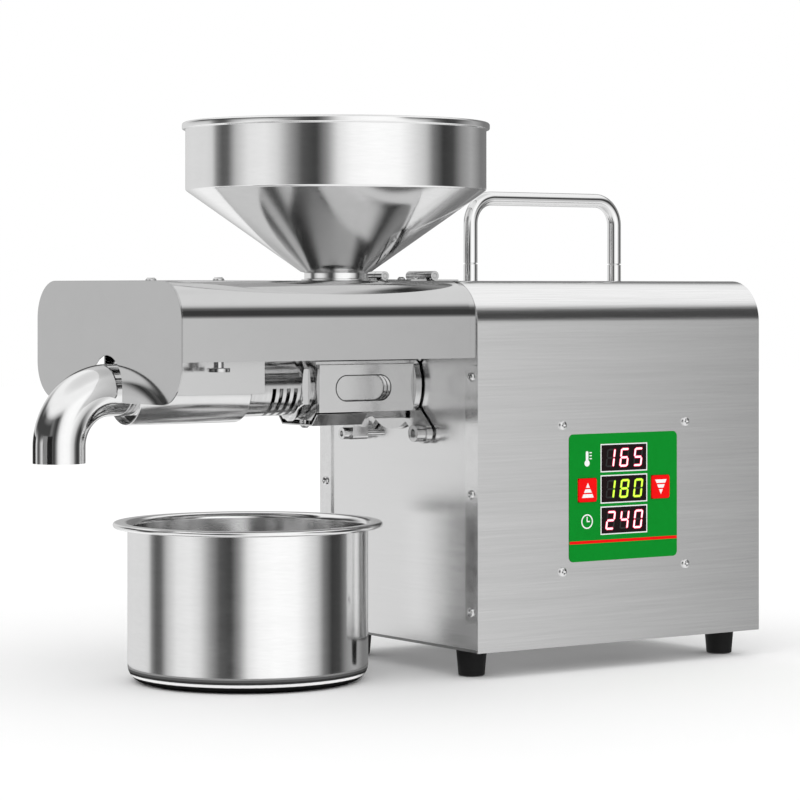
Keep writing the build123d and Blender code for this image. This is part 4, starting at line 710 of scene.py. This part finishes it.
def makeArrow(name, side, s):
    # a triangle cut into bars: bar i runs from level i to i + 1, narrowing towards the tip
    level = np.arange(s["bars"])
    step = s["height"] / s["bars"]
    low = level * step
    high = low + step - np.where(level < s["bars"] - 1, s["gap"], 0)
    halfLow = s["base"] / 2 * (1 - low / s["height"])
    halfHigh = s["base"] / 2 * (1 - high / s["height"])
    low = low - s["height"] / 2
    high = high - s["height"] / 2
    across = [-halfLow, halfLow, halfHigh, -halfHigh]
    upward = [low, low, high, high]
    outlines = np.stack([np.stack(across, -1), np.stack(upward, -1)], -1)
    outlines[..., 1] *= -side
    origin = (panelSizes["x"] + side * s["offset"], s["faceY"] + s["bite"], s["z"])
    return manyPrisms(name, outlines, origin, alongX, alongZ, -s["lift"] * alongY)


for side, name, body in ((-1, "arrowUp", "up_key"), (1, "arrowDown", "down_key")):
    piece = makeArrow(name, side, arrowSizes)
    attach(piece, body)
    dress(piece, finish["whiteInk"])

# a thermometer beside the upper row and a clock beside the lower one
signSizes = dict(x=103.0, upperZ=162.0, lowerZ=114.0, lift=0.12)
thermometerSizes = dict(bulb=2.5, stem=1.25, drop=3.4, rise=4.6, bulbSteps=25, stemSteps=9)
tickSizes = dict(start=2.3, end=4.6, width=0.8, levels=(0.0, 2.3, 4.6))
clockSizes = dict(outer=5.6, inner=4.6, hand=0.9, minute=3.7, hour=2.6, sides=64)


def makeThermometer(s, tick):
    # the bulb's arc from one side of the stem round to the other, then the half circle at the stem's top
    join = math.asin(s["stem"] / s["bulb"])
    bulbTurn = np.linspace(math.pi / 2 + join, 2.5 * math.pi - join, s["bulbSteps"])
    stemTurn = np.linspace(0, math.pi, s["stemSteps"])
    low = np.c_[s["bulb"] * np.cos(bulbTurn), s["bulb"] * np.sin(bulbTurn) - s["drop"]]
    high = np.c_[s["stem"] * np.cos(stemTurn), s["stem"] * np.sin(stemTurn) + s["rise"]]
    origin = (signSizes["x"], panelSizes["skinY"] + panelSizes["bite"], signSizes["upperZ"])
    depth = -signSizes["lift"] * alongY
    a = tick["start"]
    b = tick["end"]
    t = tick["width"] / 2
    ticks = [[(a, z - t), (b, z - t), (b, z + t), (a, z + t)] for z in tick["levels"]]
    stem = prism("thermometerStem", np.vstack([low, high]), origin, alongX, alongZ, depth)
    return [stem, manyPrisms("thermometerTicks", ticks, origin, alongX, alongZ, depth)]


def makeClock(s):
    # a flat ring, and two hands as one bent strip
    origin = np.array([signSizes["x"], panelSizes["skinY"] + panelSizes["bite"], signSizes["lowerZ"]])
    lift = signSizes["lift"]
    profile = [(s["outer"], 0), (s["outer"], lift), (s["inner"], lift), (s["inner"], 0)]
    ring = turned("clockRing", profile, -alongY, origin, s["sides"])
    t = s["hand"] / 2
    elbow = [(-t, s["minute"]), (-t, -t), (s["hour"], -t), (s["hour"], t), (t, t), (t, s["minute"])]
    return [ring, prism("clockHands", elbow, origin, alongX, alongZ, -lift * alongY)]


for piece in makeThermometer(thermometerSizes, tickSizes) + makeClock(clockSizes):
    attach(piece, "root")
    dress(piece, finish["whiteInk"])

lineSizes = dict(z=98.2, thickness=2.2, width=106.0, lift=0.12)


def makeLine(s):
    # a flat strip right across the panel
    w = s["width"] / 2
    t = s["thickness"] / 2
    origin = (panelSizes["x"], panelSizes["skinY"] + panelSizes["bite"], s["z"])
    strip = [(-w, -t), (w, -t), (w, t), (-w, t)]
    return prism("redLine", strip, origin, alongX, alongZ, -s["lift"] * alongY)


redLine = makeLine(lineSizes)
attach(redLine, "root")
dress(redLine, finish["redFilm"])
print("made the control panel's print and digits")

viewSizes = dict(place=(-1298.4, -1881.3, 292.0), ahead=(0.569, 0.822, 0.0), lens=132.75, shift=-0.139)
viewSizes.update(sensor=36.0, farthest=50.0)


def makeCamera(s):
    data = bpy.data.cameras.new("photoCamera")
    data.lens = s["lens"]
    data.sensor_width = s["sensor"]
    data.shift_y = s["shift"]
    data.clip_end = s["farthest"]
    camera = bpy.data.objects.new("photoCamera", data)
    bpy.context.scene.collection.objects.link(camera)
    camera.location = Vector(s["place"]) * mm + Vector((faceX * mm, 0, 0))
    camera.rotation_euler = Vector(s["ahead"]).to_track_quat("-Z", "Y").to_euler()
    bpy.context.scene.camera = camera


makeCamera(viewSizes)
bpy.context.scene.view_settings.view_transform = "Standard"

# what polished metal mirrors of the studio, by the angle in degrees to the right of the way to the camera
studioBands = [
    (-180, 0.30), (-166, 0.70), (-140, 0.77), (-114, 0.77), (-107, 0.72), (-101, 0.24), (-95, 0.10),
    (-88, 0.12), (-80, 0.55), (-68, 0.86), (-54, 0.91), (-44, 0.76), (-34, 0.36), (-24, 0.09),
    (-13, 0.045), (-5, 0.30), (3, 0.84), (13, 1.05), (30, 1.12), (50, 1.08), (60, 0.88), (65, 0.77),
    (69, 0.69), (73, 0.58), (80, 0.20), (90, 0.04), (101, 0.06), (112, 0.28), (126, 0.42),
    (146, 0.20), (180, 0.22),
]
# the dark strip between the side lights and the overhead one: how much of it shows, by height and by angle
stripHeights = [(0.04, 0.0), (0.13, 0.8), (0.19, 1.0), (0.36, 1.0), (0.47, 0.75), (0.62, 0.0)]
stripAngles = [
    (-150, 0.0), (-125, 1.0), (-40, 1.0), (-20, 0.0), (46, 0.0), (58, 1.0), (100, 1.0), (125, 0.0),
]
# how much the overhead light and the floor take over from the bands by height, and how bright they are
studioHeights = [(-1.0, 1.0), (-0.42, 1.0), (-0.20, 0.0), (0.46, 0.0), (0.60, 0.9), (0.68, 1.0)]
lidLevels = [(-1.0, 0.98), (0.84, 0.98), (0.94, 0.8), (1.0, 0.75)]
studioLevels = dict(ambient=0.95, background=1.0, strip=0.06, peak=1.12)


def fillRamp(ramp, stops):
    # a ramp starts with two stops; the rest are added
    while len(ramp.elements) < len(stops):
        ramp.elements.new(0.5)
    for element, (position, value) in zip(ramp.elements, stops):
        element.position = position
        element.color = (value, value, value, 1)


def makeStudio(s):
    # the camera sees a plain background, matt pieces a plain light, polished ones the bands and strip
    world = bpy.data.worlds.new("studio")
    world.use_nodes = True
    bpy.context.scene.world = world
    tree = world.node_tree
    link = tree.links.new
    background = tree.nodes["Background"]
    coords = addNode(tree, "ShaderNodeTexCoord")
    split = addNode(tree, "ShaderNodeSeparateXYZ")
    angle = addNode(tree, "ShaderNodeMath", operation="ARCTAN2")
    towardsCamera = math.atan2(-viewSizes["ahead"][1], -viewSizes["ahead"][0]) / (2 * math.pi)
    turnValues = {1: 1 / (2 * math.pi), 2: 0.5 - towardsCamera}
    turn = addNode(tree, "ShaderNodeMath", turnValues, operation="MULTIPLY_ADD")
    wrapped = addNode(tree, "ShaderNodeMath", operation="FRACT")
    bands = addNode(tree, "ShaderNodeValToRGB")
    fillRamp(bands.color_ramp, [((a + 180) / 360, v / s["peak"]) for a, v in studioBands])
    bright = addNode(tree, "ShaderNodeVectorMath", {"Scale": s["peak"]}, operation="SCALE")
    across = addNode(tree, "ShaderNodeValToRGB")
    fillRamp(across.color_ramp, [((a + 180) / 360, v) for a, v in stripAngles])
    upwards = addNode(tree, "ShaderNodeValToRGB")
    fillRamp(upwards.color_ramp, [((h + 1) / 2, v) for h, v in stripHeights])
    inStrip = addNode(tree, "ShaderNodeMath", operation="MULTIPLY")
    stripped = addNode(tree, "ShaderNodeMix", {"B": (s["strip"],) * 3 + (1,)}, data_type="RGBA")
    height = addNode(tree, "ShaderNodeMath", {1: 0.5, 2: 0.5}, operation="MULTIPLY_ADD")
    lid = addNode(tree, "ShaderNodeValToRGB")
    fillRamp(lid.color_ramp, [((h + 1) / 2, v) for h, v in studioHeights])
    above = addNode(tree, "ShaderNodeValToRGB")
    fillRamp(above.color_ramp, [((h + 1) / 2, v / s["peak"]) for h, v in lidLevels])
    lit = addNode(tree, "ShaderNodeVectorMath", {"Scale": s["peak"]}, operation="SCALE")
    mirrored = addNode(tree, "ShaderNodeMix", data_type="RGBA")
    seen = addNode(tree, "ShaderNodeLightPath")
    glossy = addNode(tree, "ShaderNodeMix", {"A": (s["ambient"],) * 3 + (1,)}, data_type="RGBA")
    final = addNode(tree, "ShaderNodeMix", {"B": (s["background"],) * 3 + (1,)}, data_type="RGBA")
    link(coords.outputs["Generated"], split.inputs[0])
    link(split.outputs["Y"], angle.inputs[0])
    link(split.outputs["X"], angle.inputs[1])
    link(angle.outputs[0], turn.inputs[0])
    link(turn.outputs[0], wrapped.inputs[0])
    link(wrapped.outputs[0], bands.inputs["Fac"])
    link(split.outputs["Z"], height.inputs[0])
    link(height.outputs[0], lid.inputs["Fac"])
    link(height.outputs[0], upwards.inputs["Fac"])
    link(wrapped.outputs[0], across.inputs["Fac"])
    link(across.outputs["Color"], inStrip.inputs[0])
    link(upwards.outputs["Color"], inStrip.inputs[1])
    link(bands.outputs["Color"], bright.inputs[0])
    link(inStrip.outputs[0], stripped.inputs["Factor"])
    link(bright.outputs[0], stripped.inputs["A"])
    link(lid.outputs["Color"], mirrored.inputs["Factor"])
    link(stripped.outputs["Result"], mirrored.inputs["A"])
    link(height.outputs[0], above.inputs["Fac"])
    link(above.outputs["Color"], lit.inputs[0])
    link(lit.outputs[0], mirrored.inputs["B"])
    link(seen.outputs["Is Glossy Ray"], glossy.inputs["Factor"])
    link(mirrored.outputs["Result"], glossy.inputs["B"])
    link(seen.outputs["Is Camera Ray"], final.inputs["Factor"])
    link(glossy.outputs["Result"], final.inputs["A"])
    link(final.outputs["Result"], background.inputs["Color"])


makeStudio(studioLevels)

sunSizes = dict(strength=0.42, spread=70.0, towards=(0.35, 0.75, -1.0))


def makeSun(s):
    # a wide soft sun that throws the shadow on the floor
    data = bpy.data.lights.new("softSun", "SUN")
    data.energy = s["strength"]
    data.angle = math.radians(s["spread"])
    sun = bpy.data.objects.new("softSun", data)
    bpy.context.scene.collection.objects.link(sun)
    sun.rotation_euler = Vector(s["towards"]).to_track_quat("-Z", "Y").to_euler()
    sun.visible_glossy = False


makeSun(sunSizes)

# cards that only polished metal sees: upright ones left of the spout, and flat dark rings round the bowl's
# foot, painted shade of the floor's contact shadow for the bowl to mirror
cardSizes = dict(centreX=-294.0, away=182.0, low=132.0)
cardRoughness = 0.9
spoutCards = [
    dict(angle=-55.0, half=35.0, high=215.0, shade=0.30),
    dict(angle=-33.0, half=35.0, high=215.0, shade=0.02),
    dict(angle=-128.0, half=60.0, high=198.0, shade=0.03),
]
# painted contact shade under the bowl, darkest nearest the foot and lighter outwards
bowlShadeRings = [
    dict(inner=1.0, outer=88.0, shade=0.02),
    dict(inner=93.0, outer=100.0, shade=0.05),
    dict(inner=100.0, outer=114.0, shade=0.14),
    dict(inner=114.0, outer=140.0, shade=0.36),
]
ringSizes = dict(z=-0.2, sides=64)


def makeCard(name, verts, faces, shade):
    # a matt grey surface that only mirrored rays meet
    card = meshPiece(name, verts, faces)
    material = bpy.data.materials.new(name)
    material.use_nodes = True
    shader = material.node_tree.nodes["Principled BSDF"]
    shader.inputs["Base Color"].default_value = (shade, shade, shade, 1)
    shader.inputs["Roughness"].default_value = cardRoughness
    shader.inputs["Specular IOR Level"].default_value = 0.0
    dress(card, material)
    card.visible_camera = False
    card.visible_diffuse = False
    card.visible_shadow = False


def makeSpoutCard(number, place, s):
    # an upright rectangle that faces the spout from one side
    turn = math.atan2(-viewSizes["ahead"][1], -viewSizes["ahead"][0]) + math.radians(place["angle"])
    middle = np.array([s["centreX"], 0, 0]) + s["away"] * np.array([math.cos(turn), math.sin(turn), 0])
    side = place["half"] * np.array([-math.sin(turn), math.cos(turn), 0])
    low = s["low"] * alongZ
    high = place["high"] * alongZ
    corners = [middle - side + low, middle + side + low, middle + side + high, middle - side + high]
    makeCard(f"spoutCard{number}", corners, [[0, 1, 2, 3]], place["shade"])


def makeBowlShadeRing(number, ring, s):
    # a flat ring about the bowl's axis, just under it, its grey a painted shade that the bowl mirrors
    n = s["sides"]
    turns = np.linspace(0, 2 * math.pi, n, endpoint=False)
    circle = np.stack([np.cos(turns), np.sin(turns), 0 * turns], -1)
    centre = np.array([bowlSizes["x"], 0, s["z"]])
    k = np.arange(n)
    faces = np.stack([k, k + n, (k + 1) % n + n, (k + 1) % n], -1).tolist()
    verts = np.vstack([centre + ring["inner"] * circle, centre + ring["outer"] * circle])
    makeCard(f"bowlShadeRing{number}", verts, faces, ring["shade"])


for number, place in enumerate(spoutCards):
    makeSpoutCard(number, place, cardSizes)
for number, ring in enumerate(bowlShadeRings):
    makeBowlShadeRing(number, ring, ringSizes)

floorSizes = dict(half=6000.0, drop=0.4)


def makeFloor(s):
    # one large white square, a little below the feet
    h = s["half"]
    square = np.array([(-h, -h), (h, -h), (h, h), (-h, h)])
    square = np.c_[square, np.full(len(square), -s["drop"])]
    floor = meshPiece("paleFloor", square, [[0, 1, 2, 3]])
    material = bpy.data.materials.new("paleFloor")
    material.use_nodes = True
    shader = material.node_tree.nodes["Principled BSDF"]
    shader.inputs["Base Color"].default_value = (1, 1, 1, 1)
    shader.inputs["Roughness"].default_value = 1.0
    shader.inputs["Specular IOR Level"].default_value = 0.0
    dress(floor, material)
    floor.visible_glossy = False


makeFloor(floorSizes)
print("placed the camera, the lights and the floor")
